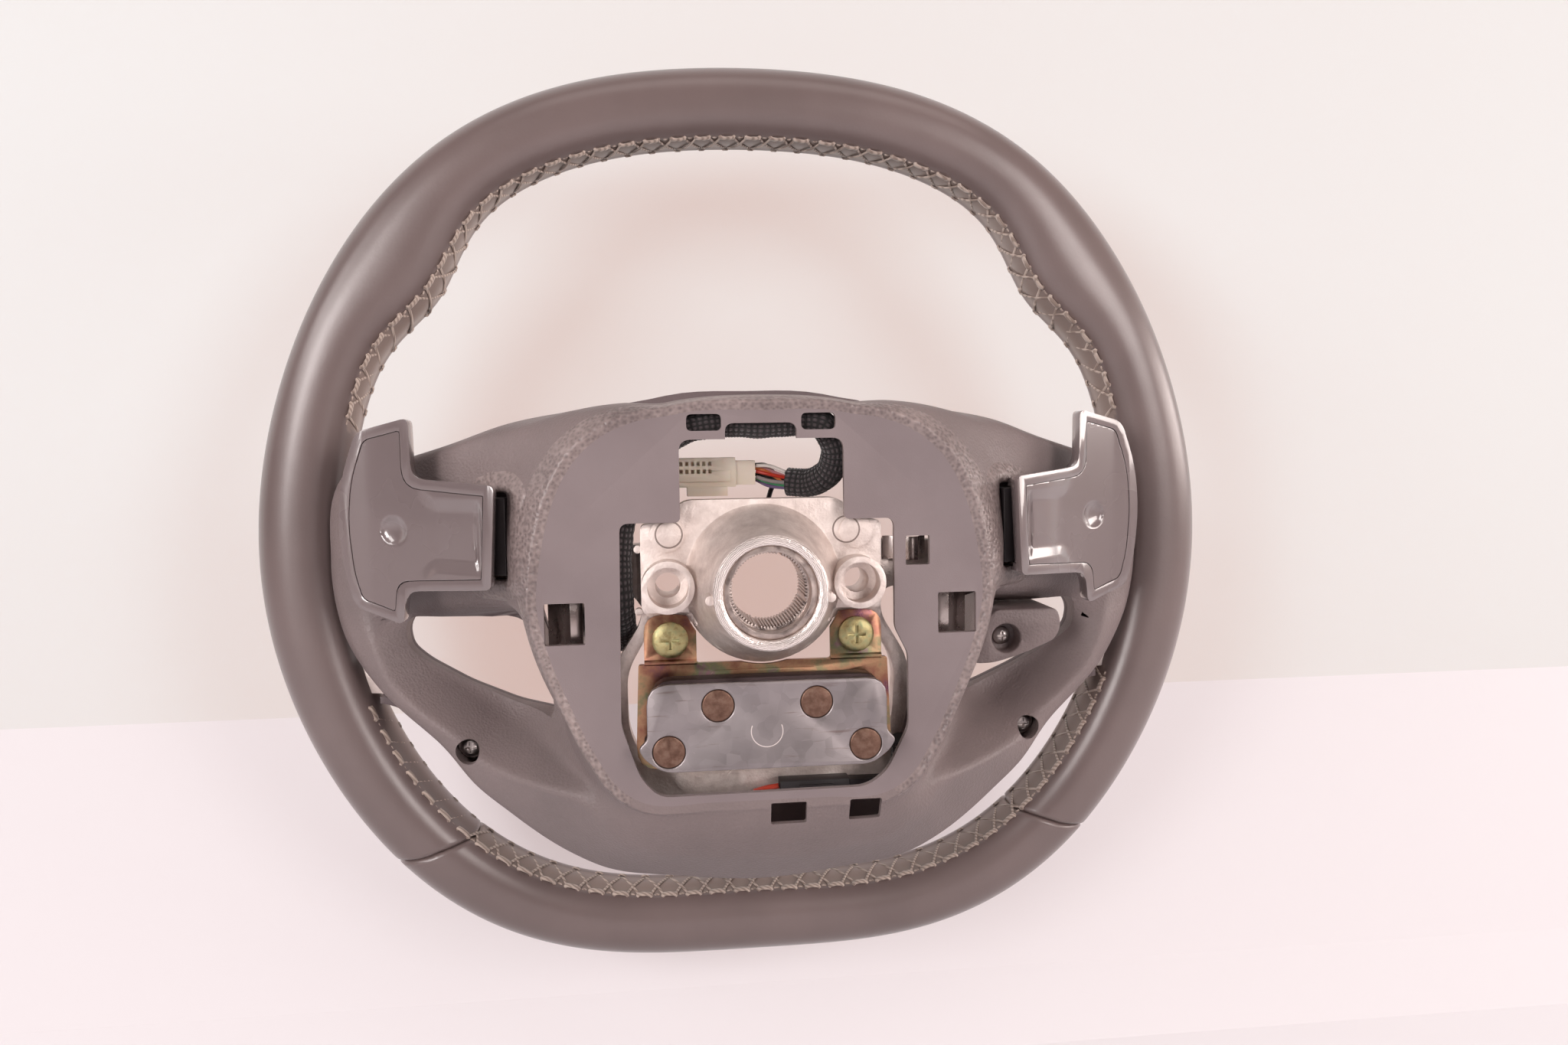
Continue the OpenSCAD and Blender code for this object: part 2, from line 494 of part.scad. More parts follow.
module trim_screws() {
    color("silver") both_sides() difference() {
        union() {
            turned_y(arm_hole[0], arm_hole[1]) polygon([[0, deep(73)], [2.4, deep(73) + 0.2], [3.6,
                deep(73) + 1.2],
                [3.6, deep(76) - 0.05], [0, deep(76) - 0.05]]);
            rod_y(2, arm_hole[0], arm_hole[1], deep(75), part_y + 2.5);
        }
        for (q = [[2.1, 0.45], [0.45, 2.1]])
            box(arm_hole[0] - q[0], arm_hole[0] + q[0], 0, deep(73) + 1.4, arm_hole[1] - q[1],
                arm_hole[1] + q[1]);
    }
}

// Driver-side switch block: a housing with two push caps and a rocker
switch_y = part_y - 4;
switch_floor = switch_y + 2;
switch_face = part_y + trim_t + 1;
cap_z = [26.5, 10.5];
cap_x = 95;
rocker_x = 112.5;
rocker_w = 12;
rocker_z0 = 0;
rocker_z1 = 30;
rocker_pin_r = 0.8;
module cap_well(x, z, w, h, r) soft_box(x - w / 2 - cap_gap, x + w / 2 + cap_gap, z - h / 2 - cap_gap, z
    + h / 2 + cap_gap, r,
    switch_floor, switch_face + 5);
module switch_block() difference() {
    union() {
        soft_box(switch_x0, switch_x1, switch_z0, switch_z1, 4, switch_y, switch_face);
        for (z = [rocker_z0 - 2, rocker_z1 - 6]) box(rocker_x - 3, rocker_x + 3, deep(78), switch_y + 1, z,
            z + 6);
    }
    for (z = cap_z) cap_well(cap_x, z, cap_w, cap_w, 2);
    cap_well(rocker_x, (rocker_z0 + rocker_z1) / 2, rocker_w, rocker_z1 - rocker_z0, 0.8);
}
module switch_housing() {
    switch_block();
    rocker_rod(rocker_pin_r, rocker_w + 3);
}
module push_cap(z) {
    soft_box(cap_x - cap_w / 2, cap_x + cap_w / 2, z - cap_w / 2, z + cap_w / 2, 2, switch_floor
        + cap_travel + seat, switch_face + 1.4);
}
module rocker() {
    z = (rocker_z0 + rocker_z1) / 2;
    half = (rocker_z1 - rocker_z0) / 2;
    difference() {
        through_x(rocker_x - rocker_w / 2, rocker_x + rocker_w / 2) polygon([[switch_floor + 2.4, z
            - half + 1], [switch_floor + 1.4, z],
            [switch_floor + 2.4, z + half - 1], [switch_face + 1.6, z + half - 0.6], [switch_face + 0.9,
                z + 3], [switch_face + 0.9, z - 3],
            [switch_face + 1.6, z - half + 0.6]]);
        rocker_rod(rocker_pin_r + 0.05, rocker_w + 1);
    }
}
module rocker_rod(r, w) translate([rocker_x - w / 2, switch_floor + 3.4, (rocker_z0
    + rocker_z1) / 2]) rotate([0, 90, 0]) cylinder(r = r, h = w);
module switch_left() { color("dimgray") mirror([1, 0, 0]) at_hand() switch_housing(); }
module switch_right() { color("dimgray") at_hand() switch_housing(); }
module cap_left_upper() { color("darkgray") mirror([1, 0, 0]) at_hand() push_cap(cap_z[0]); }
module cap_left_lower() { color("darkgray") mirror([1, 0, 0]) at_hand() push_cap(cap_z[1]); }
module cap_right_upper() { color("darkgray") at_hand() push_cap(cap_z[0]); }
module cap_right_lower() { color("darkgray") at_hand() push_cap(cap_z[1]); }
module rocker_left() { color("darkgray") mirror([1, 0, 0]) at_hand() rocker(); }
module rocker_right() { color("darkgray") at_hand() rocker(); }

// Shift paddles: a T-shaped frame with an inset face, on a black base with a pivot pin
paddle_outline = [[86.8, 34, 2], [117.3, 36.4, 5], [117.6, 57, 3], [137.3, 52.6, 4], [143.2, 36, 8],
    [144.6, 20, 8],
    [143, 3, 8], [139.6, -8.4, 4], [122, -14.2, 3], [120.8, -2.4, 5], [88.8, 0.2, 2]];
paddle_rows = [[84, 21.6], [90, 24.8], [100, 32.2], [110, 40.4], [118, 46.6], [126, 51.4], [135, 55], [147,
    57.6]];
pivot = [91.5, deep(36.5)];
lug_z = [[0.9, 3.5], [30.3, 32.9]];
base_z0 = 4.1;
base_z1 = 29.7;
face_t = 2.4;
function paddle_y(x) = deep(smooth(paddle_rows, x, 1));
band_x = [84, 89, 94, 99, 104, 109, 114, 119, 123, 127, 131, 135, 139, 143, 147];
module paddle_band(t0, t1) through_z(-30, 70) polygon(concat([for (x = band_x) [x, paddle_y(x) + t0]],
    [for (i = [len(band_x) - 1:-1:0]) [band_x[i], paddle_y(band_x[i]) + t1]]));
module paddle_frame() difference() {
    union() {
        intersection() {
            paddle_band(0, paddle_t);
            through_y(0, 100) polygon(eased(paddle_outline));
        }
        for (z = lug_z) box(88.6, 94.6, paddle_y(90) + paddle_t - 3, pivot[1] + 3, z[0], z[1]);
    }
    intersection() {
        paddle_band(-5, face_t);
        through_y(0, 100) polygon(eased(grown(paddle_outline, -bezel_w)));
    }
    translate([pivot[0], pivot[1], -5]) cylinder(r = pivot_r + 0.06, h = 60);
}
dimple = [125, 18];
// Waisted channel along the stem, sunk most at its inner end
channel_outline = [[91.6, 27.2, 1.5], [103, 25.6, 6], [111, 27.4, 4], [118, 33, 1], [118, 3.5, 1], [111,
    8.4, 4], [103, 10, 6],
    [91.6, 7, 1.5]];
channel_d = 1.1;
module paddle_channel() intersection() {
    through_z(-30, 70) polygon([[91, paddle_y(91) - 3], [91, paddle_y(91) + channel_d], [118,
        paddle_y(118) + 0.1],
        [118, paddle_y(118) - 3]]);
    through_y(0, 100) polygon(eased(channel_outline));
}
module paddle_face() difference() {
    intersection() {
        paddle_band(0.1, face_t - 0.05);
        through_y(0, 100) polygon(eased(grown(paddle_outline, -bezel_w - face_gap)));
    }
    translate([dimple[0], paddle_y(dimple[0]) - 7.4, dimple[1]]) sphere(r = 9);
    paddle_channel();
}
module paddle_base() difference() {
    union() {
        through_z(base_z0, base_z1) polygon(concat([for (x = [84.5, 90, 95, 100]) [x, paddle_y(x)
            + paddle_t + 1.2]],
            [[100, deep(46)], [84.5, deep(42)]]));
        through_z(base_z0, 11.7) polygon([[86, deep(41)], [97, deep(45)], [97, deep(52)], [92, deep(48.4)],
            [86, deep(43.7)]]);
    }
    translate([pivot[0], pivot[1], -5]) cylinder(r = pivot_r + 0.02, h = 60);
}
module paddle_pin() translate([pivot[0], pivot[1], lug_z[0][0]]) cylinder(r = pivot_r, h = lug_z[1][1]
    - lug_z[0][0]);
module paddle_left_frame() { color("gray") mirror([1, 0, 0]) at_hand() paddle_frame(); }
module paddle_right_frame() { color("gray") at_hand() paddle_frame(); }
module paddle_left_face() { color("darkgray") mirror([1, 0, 0]) at_hand() paddle_face(); }
module paddle_right_face() { color("darkgray") at_hand() paddle_face(); }
module paddle_left_base() { color("black") mirror([1, 0, 0]) at_hand() paddle_base(); }
module paddle_right_base() { color("black") at_hand() paddle_base(); }
module paddle_left_pin() { color("silver") mirror([1, 0, 0]) at_hand() paddle_pin(); }
module paddle_right_pin() { color("silver") at_hand() paddle_pin(); }

// Switch pod below the right spoke: rear housing, front plate, round button and rear screw
pod_outline = [[89.5, -16.6, 2], [113.4, -16.6, 3], [114.8, -23, 4], [112.6, -28.4, 4], [100.5, -33.4, 5],
    [89, -36.6, 4],
    [81, -36.6, 2.5], [84.3, -22, 3]];
pod_y0 = deep(57);
pod_y1 = part_y + 1;
pod_button_at = [100, -24.5];
module pod_housing() {
    color("gray") at_hand() difference() {
        through_y(pod_y0, pod_y1) polygon(eased(pod_outline));
        through_y(pod_y0 + 12, pod_y1 + 1) polygon(eased(grown(pod_outline, -wall)));
        rod_y(5.4, pod_screw[0], pod_screw[1], pod_y0 - 1, pod_y0 + 7);
        rod_y(2.1, pod_screw[0], pod_screw[1], pod_y0 - 1, pod_y1);
    }
}
module pod_face() {
    color("dimgray") at_hand() difference() {
        union() {
            through_y(pod_y1 + 0.05, pod_y1 + 4) polygon(eased(pod_outline));
            rod_y(3.6, pod_screw[0], pod_screw[1], pod_y0 + 12.3, pod_y1 + 1);
        }
        rod_y(pod_button_r + cap_gap, pod_button_at[0], pod_button_at[1], pod_y1 + 1.2, pod_y1 + 6);
        rod_y(1.6, pod_screw[0], pod_screw[1], pod_y0, pod_y1 - 1);
    }
}
module pod_button() {
    color("darkgray") at_hand() turned_y(pod_button_at[0], pod_button_at[1]) polygon([[0, pod_y1 + 2.6],
        [pod_button_r, pod_y1 + 2.6],
        [pod_button_r, pod_y1 + 4.6], [pod_button_r - 0.8, pod_y1 + 5.4], [0, pod_y1 + 4.9]]);
}
module pod_rear_screw() {
    color("silver") at_hand() difference() {
        union() {
            turned_y(pod_screw[0], pod_screw[1]) polygon([[0, pod_y0 + 4.6], [1.6, pod_y0 + 4.8], [3.2,
                pod_y0 + 5.9], [3.2, pod_y0 + 6.95], [0, pod_y0 + 6.95]]);
            rod_y(1.55, pod_screw[0], pod_screw[1], pod_y0 + 6.9, pod_y0 + 22);
        }
        for (q = [[1.8, 0.35], [0.35, 1.8]]) box(pod_screw[0] - q[0], pod_screw[0] + q[0], 0, pod_y0 + 6,
            pod_screw[1] - q[1], pod_screw[1] + q[1]);
    }
}

// Vibration damper: plate, iron weight and rubber bushes riveted to a pressed bracket
damper_y = plate_y - 8;
damper_top = -31;
bracket_y = plate_y + 4;
bracket_t = 2;
weight_y1 = bracket_y - 2.8;
rivet_at = [[-16.4, -38.5], [16, -38.5], [-32.6, -53.2], [32.2, -53.2]];
function damper_outline(w, z0, h) = let (x = w / 2) eased([[-x, z0, 7], [x, z0, 7], [x, z0 - 0.62 * h,
    1.5], [x + 3, z0 - 0.72 * h, 1.5],
    [x + 1, z0 - 0.84 * h, 2], [x - 5, z0 - h, 6], [5 - x, z0 - h, 6], [-x - 1, z0 - 0.84 * h, 2], [-x - 3,
        z0 - 0.72 * h, 1.5],
    [-x, z0 - 0.62 * h, 1.5]]);
module at_rivets(r, y0, y1) for (p = rivet_at) rod_y(r, p[0], p[1], y0, y1);
module damper_plate() {
    color("lightsteelblue") difference() {
        through_y(damper_y, damper_y + damper_t) polygon(damper_outline(damper_w, damper_top, damper_h));
        at_rivets(rivet_r + 0.05, damper_y - 1, damper_y + damper_t + 1);
    }
}
module damper_weight() {
    color("dimgray") difference() {
        through_y(damper_y + damper_t + 0.02, weight_y1) polygon(damper_outline(damper_w - 3, damper_top
            + 1, damper_h - 0.5));
        at_rivets(3.3, damper_y, weight_y1 + 1);
    }
}
module damper_bushes() {
    color("black") difference() {
        at_rivets(5, weight_y1 + 0.02, bracket_y - 0.02);
        at_rivets(3.1, weight_y1 - 1, bracket_y + 1);
    }
}
module damper_rivets() {
    color("peru") {
        at_rivets(rivet_r, damper_y, damper_y + damper_t);
        at_rivets(3, damper_y + damper_t - eps, bracket_y + bracket_t + eps);
        at_rivets(4.6, bracket_y + bracket_t + 0.02, bracket_y + bracket_t + 1.2);
    }
}
module damper_bracket() {
    color("goldenrod") difference() {
        union() {
            through_y(bracket_y, bracket_y + bracket_t) polygon(eased([[-42, -26.5, 3], [-40, -26.5, 0],
                [-40, -10, 6], [-22.6, -10, 6],
                [-22.6, -26.5, 1], [22.6, -26.5, 1], [22.6, -10, 6], [40, -10, 6], [40, -26.5, 0], [42,
                    -26.5, 3], [43.5, -62, 8], [-43.5, -62, 8]]));
            for (x = [-40, 22.6]) through_x(x, x + 17.4) polygon([[bracket_y - 0.8, -25.6], [bracket_y
                + 0.2, -24.8], [bracket_y + 0.2, -27], [bracket_y - 0.8, -26.4]]);
            through_y(bracket_y - 0.7, bracket_y + 0.5) polygon(eased([[-20, -33, 1], [-17, -29, 1], [17,
                -29, 1], [20, -33, 1]]));
        }
        at_rivets(3.1, 0, 60);
        both_sides() rod_y(2.7, screw_x, screw_z, 0, 60);
        both_sides() rod_y(boss_r + 9.4, 0, 0, 0, 60);
    }
}
module bracket_screws() {
    color("khaki") both_sides() difference() {
        union() {
            turned_y(screw_x, screw_z) polygon([[0, bracket_y - 2.2], [4.8, bracket_y - 2], [6, bracket_y
                - 1.2], [6, bracket_y - 0.02], [0, bracket_y - 0.02]]);
            rod_y(2.5, screw_x, screw_z, bracket_y - 0.1, web_y + 13);
        }
        for (q = [[3, 0.5], [0.5, 3]]) box(screw_x - q[0], screw_x + q[0], 0, bracket_y - 1, screw_z
            - q[1], screw_z + q[1]);
    }
}

// Leaf latches that show in the square holes of the cover
module strip(points, t) polygon(concat(points, [for (i = [len(points) - 1:-1:0]) points[i] + [0, t]]));
module latch_springs() {
    color("silver") both_sides() through_z(latch_z0 - 2, latch_z1 + 0.4) strip([[54, 36], [57, 36], [60,
        29], [64, 28], [67.5, 33], [69, 36], [72, 36]], 1);
}
module small_latch() {
    color("silver") through_z(6, 14) strip([[42.4, 34.1], [46, 33.4], [49, 28.5], [51.5, 27], [53.5, 28],
        [55, 31.5], [57, 33]], 0.8);
}

// Taped harness, connectors and wires
tape_y = plate_y + wall + seat + tape_r;
tape_route = [[-46.8, tape_y + 16.2, -21], [-47.4, tape_y + 10.7, -16], [-47.8, tape_y + 3.7, -10], [-48,
    tape_y, -3], [-48, tape_y, 11],
    [-45, tape_y, 28], [-37, tape_y, 42], [-26, tape_y, 51], [-12, tape_y, 53.5], [0, tape_y, 53], [12,
        tape_y, 53.5],
    [21.5, tape_y, 52], [26, tape_y + 2, 44], [24, tape_y + 6, 36], [18, tape_y + 11, 32.6], [11, tape_y
        + 14, 33]];
lower_route = [[46.3, 37.6, -72], [48, 37.2, -68], [48.6, 36, -63.5], [48, 33.6, -57]];
wire_starts = [[0.6, 50.5, 38.6], [0.6, 54, 38], [0.6, 50.5, 36], [0.6, 54, 35], [0.6, 52, 33.4]];
wire_bows = [[5, 49, 38.4], [5, 51, 36.8], [5, 48.4, 35], [5, 51, 34.2], [5, 49.4, 30.6]];
wire_ends = [[10, 44.6, 36.2], [10, 46.6, 34.4], [10, 42.4, 34], [10, 44.6, 32.4], [10, 43, 30.6]];
module harness_tape() { color("black") cable(tape_route, tape_r, 12); }
module harness_lower() { color("black") cable(lower_route, 3.4, 10); }
module signal_wires() { color("tomato") for (k = [0:4]) cable([wire_starts[k], wire_bows[k], wire_ends[k]],
    wire_r, 6, 3); }
module ground_wire() { color("black") cable([[0.2, 56.6, 38.6], [5, 58, 38.2], [8, 58, 34], [6, 56, 29],
    [4, 50, 24], [3, 44, 20]], 0.9, 8, 2); }
module connector_white() {
    color("linen") {
        box(-36, -7, 47, 60, 31.4, 41.6);
        box(-8, 0, 48.4, 58.6, 32, 40.4);
        box(-24, -10, 45.4, 56, 28.35, 31.5);
        box(-30, -9, 46, 48, 33.4, 37);
    }
}
module connector_black() {
    color("black") {
        box(5.6, 30, 33.8, deep(41) - 0.3, -76.2, -70.6);
        box(29.5, 43, 35, deep(41) - 0.3, -75.6, -71.4);
        box(12, 24, 32.8, 34, -74.8, -72);
    }
}
module red_wire() { color("orangered") cable([[5.4, 37, -73], [1, 37.6, -73.8], [-3, 38.8, -75.2]], 1, 8,
    2); }

armature();
hub_insert();
grip_upper();
grip_lower();
back_cover();
front_trim();
trim_screws();
switch_left();
switch_right();
cap_left_upper();
cap_left_lower();
cap_right_upper();
cap_right_lower();
rocker_left();
rocker_right();
paddle_left_frame();
paddle_left_face();
paddle_left_base();
paddle_left_pin();
paddle_right_frame();
paddle_right_face();
paddle_right_base();
paddle_right_pin();
pod_housing();
pod_face();
pod_button();
pod_rear_screw();
damper_plate();
damper_weight();
damper_bushes();
damper_rivets();
damper_bracket();
bracket_screws();
latch_springs();
small_latch();
harness_tape();
harness_lower();
signal_wires();
ground_wire();
connector_white();
connector_black();
red_wire();
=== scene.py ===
"""Car steering wheel seen from the column side: its finishes, leather and stitching, and its white studio."""
import json
from math import atan2, cos, degrees, exp, pi, radians, sin, sqrt

import bmesh
import bpy
from mathutils import Matrix, Vector

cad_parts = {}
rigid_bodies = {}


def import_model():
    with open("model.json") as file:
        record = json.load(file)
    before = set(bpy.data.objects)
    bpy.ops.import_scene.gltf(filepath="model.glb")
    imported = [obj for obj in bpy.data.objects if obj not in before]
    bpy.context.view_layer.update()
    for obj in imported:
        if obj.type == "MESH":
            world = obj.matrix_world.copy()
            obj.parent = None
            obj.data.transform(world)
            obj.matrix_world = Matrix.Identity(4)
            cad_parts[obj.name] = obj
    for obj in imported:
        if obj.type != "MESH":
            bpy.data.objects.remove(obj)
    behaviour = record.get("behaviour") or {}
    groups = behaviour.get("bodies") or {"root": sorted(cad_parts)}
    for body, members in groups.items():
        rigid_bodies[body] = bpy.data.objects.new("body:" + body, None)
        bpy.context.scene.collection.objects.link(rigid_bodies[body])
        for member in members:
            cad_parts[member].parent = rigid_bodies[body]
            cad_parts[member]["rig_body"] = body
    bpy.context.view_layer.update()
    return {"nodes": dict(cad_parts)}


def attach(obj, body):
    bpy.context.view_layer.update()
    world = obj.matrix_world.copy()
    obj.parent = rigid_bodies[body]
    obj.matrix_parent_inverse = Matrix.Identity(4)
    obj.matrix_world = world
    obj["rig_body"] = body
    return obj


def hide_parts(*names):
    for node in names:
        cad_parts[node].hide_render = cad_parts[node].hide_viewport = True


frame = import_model()
MM = 0.001


def placed(name, data):
    """A new object in the scene."""
    piece = bpy.data.objects.new(name, data)
    bpy.context.scene.collection.objects.link(piece)
    return piece


# Camera, at the place the photograph was taken from
camera = placed("camera", bpy.data.cameras.new("camera"))
camera_right = Vector((0.9936, -0.1120, -0.0153))
camera_up = Vector((0.0231, 0.0690, 0.9974))
camera_forward = Vector((0.1106, 0.9913, -0.0711))
turn = Matrix((camera_right, camera_up, -camera_forward)).transposed().to_quaternion().to_matrix().to_4x4()
camera.matrix_world = Matrix.Translation(Vector((-34.74, -351.96, 47.05)) * MM) @ turn
camera.data.lens = 26.19
camera.data.sensor_width = 36
camera.data.clip_start = 0.01
bpy.context.scene.camera = camera


# ---------------------------------------------------------------- materials
def colour(code):
    """sRGB hex to the linear values that a socket takes."""
    part = [int(code[i:i + 2], 16) / 255 for i in (1, 3, 5)]
    return [c / 12.92 if c <= 0.04045 else ((c + 0.055) / 1.055) ** 2.4 for c in part] + [1]


def add(tree, kind, links=None, **settings):
    """Adds a node, with its settings, and its sockets linked or given a value."""
    node = tree.nodes.new(kind)
    for name, value in settings.items():
        setattr(node, name, value)
    for socket, value in (links or {}).items():
        if isinstance(value, bpy.types.NodeSocket):
            tree.links.new(value, node.inputs[socket])
        else:
            node.inputs[socket].default_value = value
    return node


def finish_named(name, **sockets):
    """A new material with one Principled shader, its plain values set on the shader itself."""
    made = bpy.data.materials.new(name)
    made.use_nodes = True
    tree = made.node_tree
    tree.nodes.clear()
    shader = add(tree, "ShaderNodeBsdfPrincipled", {k.replace("_", " "): v for k, v in sockets.items()})
    add(tree, "ShaderNodeOutputMaterial", {"Surface": shader.outputs[0]})
    place = add(tree, "ShaderNodeTexCoord").outputs["Object"]
    return made, tree, shader, place


def spread(tree, value, stops):
    """Colour ramp through (position, hex) stops."""
    ramp = add(tree, "ShaderNodeValToRGB", {"Fac": value})
    while len(ramp.color_ramp.elements) < len(stops):
        ramp.color_ramp.elements.new(0.5)
    for element, (at, code) in zip(ramp.color_ramp.elements, stops):
        element.position = at
        element.color = colour(code)
    return ramp.outputs["Color"]


def noise(tree, place, scale, detail, **more):
    """Value of a noise."""
    return add(tree, "ShaderNodeTexNoise", {"Vector": place, "Scale": scale, "Detail": detail, **more}).outputs["Fac"]


def pebbles(tree, place, scale):
    """Distance from the middles of rounded cells."""
    cells = add(tree, "ShaderNodeTexVoronoi", {"Vector": place, "Scale": scale}, feature="SMOOTH_F1")
    return cells.outputs["Distance"]


def reckon(tree, operation, *values):
    """Result of a Math node."""
    return add(tree, "ShaderNodeMath", dict(enumerate(values)), operation=operation).outputs[0]


def mixed(tree, factor, first, second):
    """Colour between two colours."""
    return add(tree, "ShaderNodeMix", {0: factor, 6: first, 7: second}, data_type="RGBA").outputs[2]


def blended(tree, factor, first, second):
    """Value between two values."""
    return add(tree, "ShaderNodeMix", {0: factor, 2: first, 3: second}, data_type="FLOAT").outputs[0]


def coloured(tree, shader, value):
    tree.links.new(value, shader.inputs["Base Color"])


def raised(tree, shader, *layers):
    """Bumps of (strength, distance, height), each laid on the one before."""
    below = {}
    for strength, distance, height in layers:
        rise = add(tree, "ShaderNodeBump", {"Strength": strength, "Distance": distance, "Height": height, **below})
        below = {"Normal": rise.outputs[0]}
    tree.links.new(below["Normal"], shader.inputs["Normal"])


def shine(tree, shader, value, low, high, start=0.0, end=1.0):
    """Roughness from low to high as a value runs from start to end."""
    gloss = add(tree, "ShaderNodeMapRange", {0: value, 1: start, 2: end, 3: low, 4: high})
    tree.links.new(gloss.outputs[0], shader.inputs["Roughness"])


def leather():
    """Smooth leather with a satin lacquer: soft broad highlights over a fine grain, another tone in the laced seam."""
    made, tree, shader, place = finish_named("satin_leather", Coat_Weight=0.6, Coat_Roughness=0.3)
    tone = spread(tree, noise(tree, place, 28.0, 3.0), [(0.3, "#695a58"), (0.7, "#726260")])
    laced = add(tree, "ShaderNodeAttribute", attribute_name="laced")
    coloured(tree, shader, mixed(tree, laced.outputs["Fac"], tone, colour("#84736c")))
    # pebbles of the grain are about 0.9 mm across, creases 5 mm
    crease = noise(tree, place, 210.0, 4.0)
    raised(tree, shader, (0.12, 0.0002, pebbles(tree, place, 1100.0)), (0.10, 0.0004, crease))
    shine(tree, shader, crease, 0.31, 0.41)
    return made


def grained(name, code_low, code_high, grain_mm, depth, rough, fleck=0.0):
    """Moulded polypropylene with an eroded grain: dull, with points of light where the light grazes it."""
    made, tree, shader, place = finish_named(name)
    pebble = pebbles(tree, place, 1000.0 / grain_mm)
    toned = blended(tree, fleck, noise(tree, place, 35.0, 3.0), pebble)
    coloured(tree, shader, spread(tree, toned, [(0.3, code_low), (0.7, code_high)]))
    dust = noise(tree, place, 1800.0 / grain_mm, 2.0)
    raised(tree, shader, (depth, 0.0003, pebble), (depth * 0.6, 0.0002, dust))
    shine(tree, shader, dust, rough - 0.07, rough + 0.07)
    return made


def metal(name, codes, patch_mm, rough, pit_mm=0.6, pit=0.15):
    """Bare or plated metal: cloudy colour in patches, fine pits or wear that break up the shine."""
    made, tree, shader, place = finish_named(name, Metallic=1.0)
    cloud = noise(tree, place, 1000.0 / patch_mm, 5.0, Roughness=0.6)
    stops = [(0.3 + 0.4 * i / (len(codes) - 1), c) for i, c in enumerate(codes)]
    coloured(tree, shader, spread(tree, cloud, stops))
    raised(tree, shader, (pit, 0.0002, noise(tree, place, 1000.0 / pit_mm, 3.0)))
    shine(tree, shader, cloud, rough - 0.08, rough + 0.1, 0.3, 0.7)
    return made


def smooth_plastic(name, code, rough, speck_mm=0.4, depth=0.03, **sockets):
    """Plastic from a polished or lightly sparked tool: even colour, a faint unevenness in its shine."""
    made, tree, shader, place = finish_named(name, Base_Color=colour(code), **sockets)
    raised(tree, shader, (depth, 0.0002, noise(tree, place, 1000.0 / speck_mm, 2.0)))
    shine(tree, shader, noise(tree, place, 60.0, 2.0), rough - 0.03, rough + 0.04, 0.1, 0.9)
    return made


def from_axis(tree, place):
    """Distance from the y axis."""
    apart = add(tree, "ShaderNodeSeparateXYZ", {0: place})
    flat = add(tree, "ShaderNodeCombineXYZ", {0: apart.outputs[0], 1: 0.0, 2: apart.outputs[2]})
    return add(tree, "ShaderNodeVectorMath", {0: flat.outputs[0]}, operation="LENGTH").outputs["Value"]


def ring_mark(tree, place, x, z, radius, half_width):
    """1 on a thin ring round a place in x and z."""
    moved = add(tree, "ShaderNodeMapping", {"Vector": place, "Location": (-x, 0.0, -z)}).outputs[0]
    return reckon(tree, "COMPARE", from_axis(tree, moved), radius, half_width)


FACED_RADIUS, FACED_DEPTH = 0.0186, -0.0022  # the machined face of the hub boss, in metres


def cast_magnesium():
    """Die-cast light alloy: pale, sandy cast skin, and a bright machined and scratched face round the hub boss."""
    made, tree, shader, place = finish_named("cast_magnesium", Metallic=0.7)
    near = reckon(tree, "LESS_THAN", from_axis(tree, place), FACED_RADIUS)
    depth = add(tree, "ShaderNodeSeparateXYZ", {0: place}).outputs[1]
    faced = reckon(tree, "MULTIPLY", near, reckon(tree, "LESS_THAN", depth, FACED_DEPTH))
    cloud = noise(tree, place, 160.0, 6.0, Roughness=0.65)
    skin = spread(tree, cloud, [(0.3, "#cdbfb9"), (0.55, "#e2d6d0"), (0.75, "#f3eae5")])
    # scratches 0.25 mm wide round the boss
    rings = add(tree, "ShaderNodeTexWave", {"Vector": place, "Scale": 600.0, "Distortion": 6.0, "Detail": 4.0},
                wave_type="RINGS", rings_direction="Y")
    bright = spread(tree, rings.outputs["Fac"], [(0.2, "#c5b8b3"), (0.8, "#fbf3ef")])
    shown = mixed(tree, faced, skin, bright)
    # marks of two ejector pins, 9 mm across, on the shoulders of the hub
    for x, z in ((0.0285, 0.0172), (-0.031, 0.0168)):
        shown = mixed(tree, ring_mark(tree, place, x, z, 0.0044, 0.00028), shown, colour("#8d7f79"))
    coloured(tree, shader, shown)
    sand, wave = noise(tree, place, 1300.0, 3.0), noise(tree, place, 260.0, 2.0)
    raised(tree, shader, (0.45, 0.0003, sand), (0.3, 0.0008, wave))
    shine(tree, shader, faced, 0.52, 0.34)
    return made


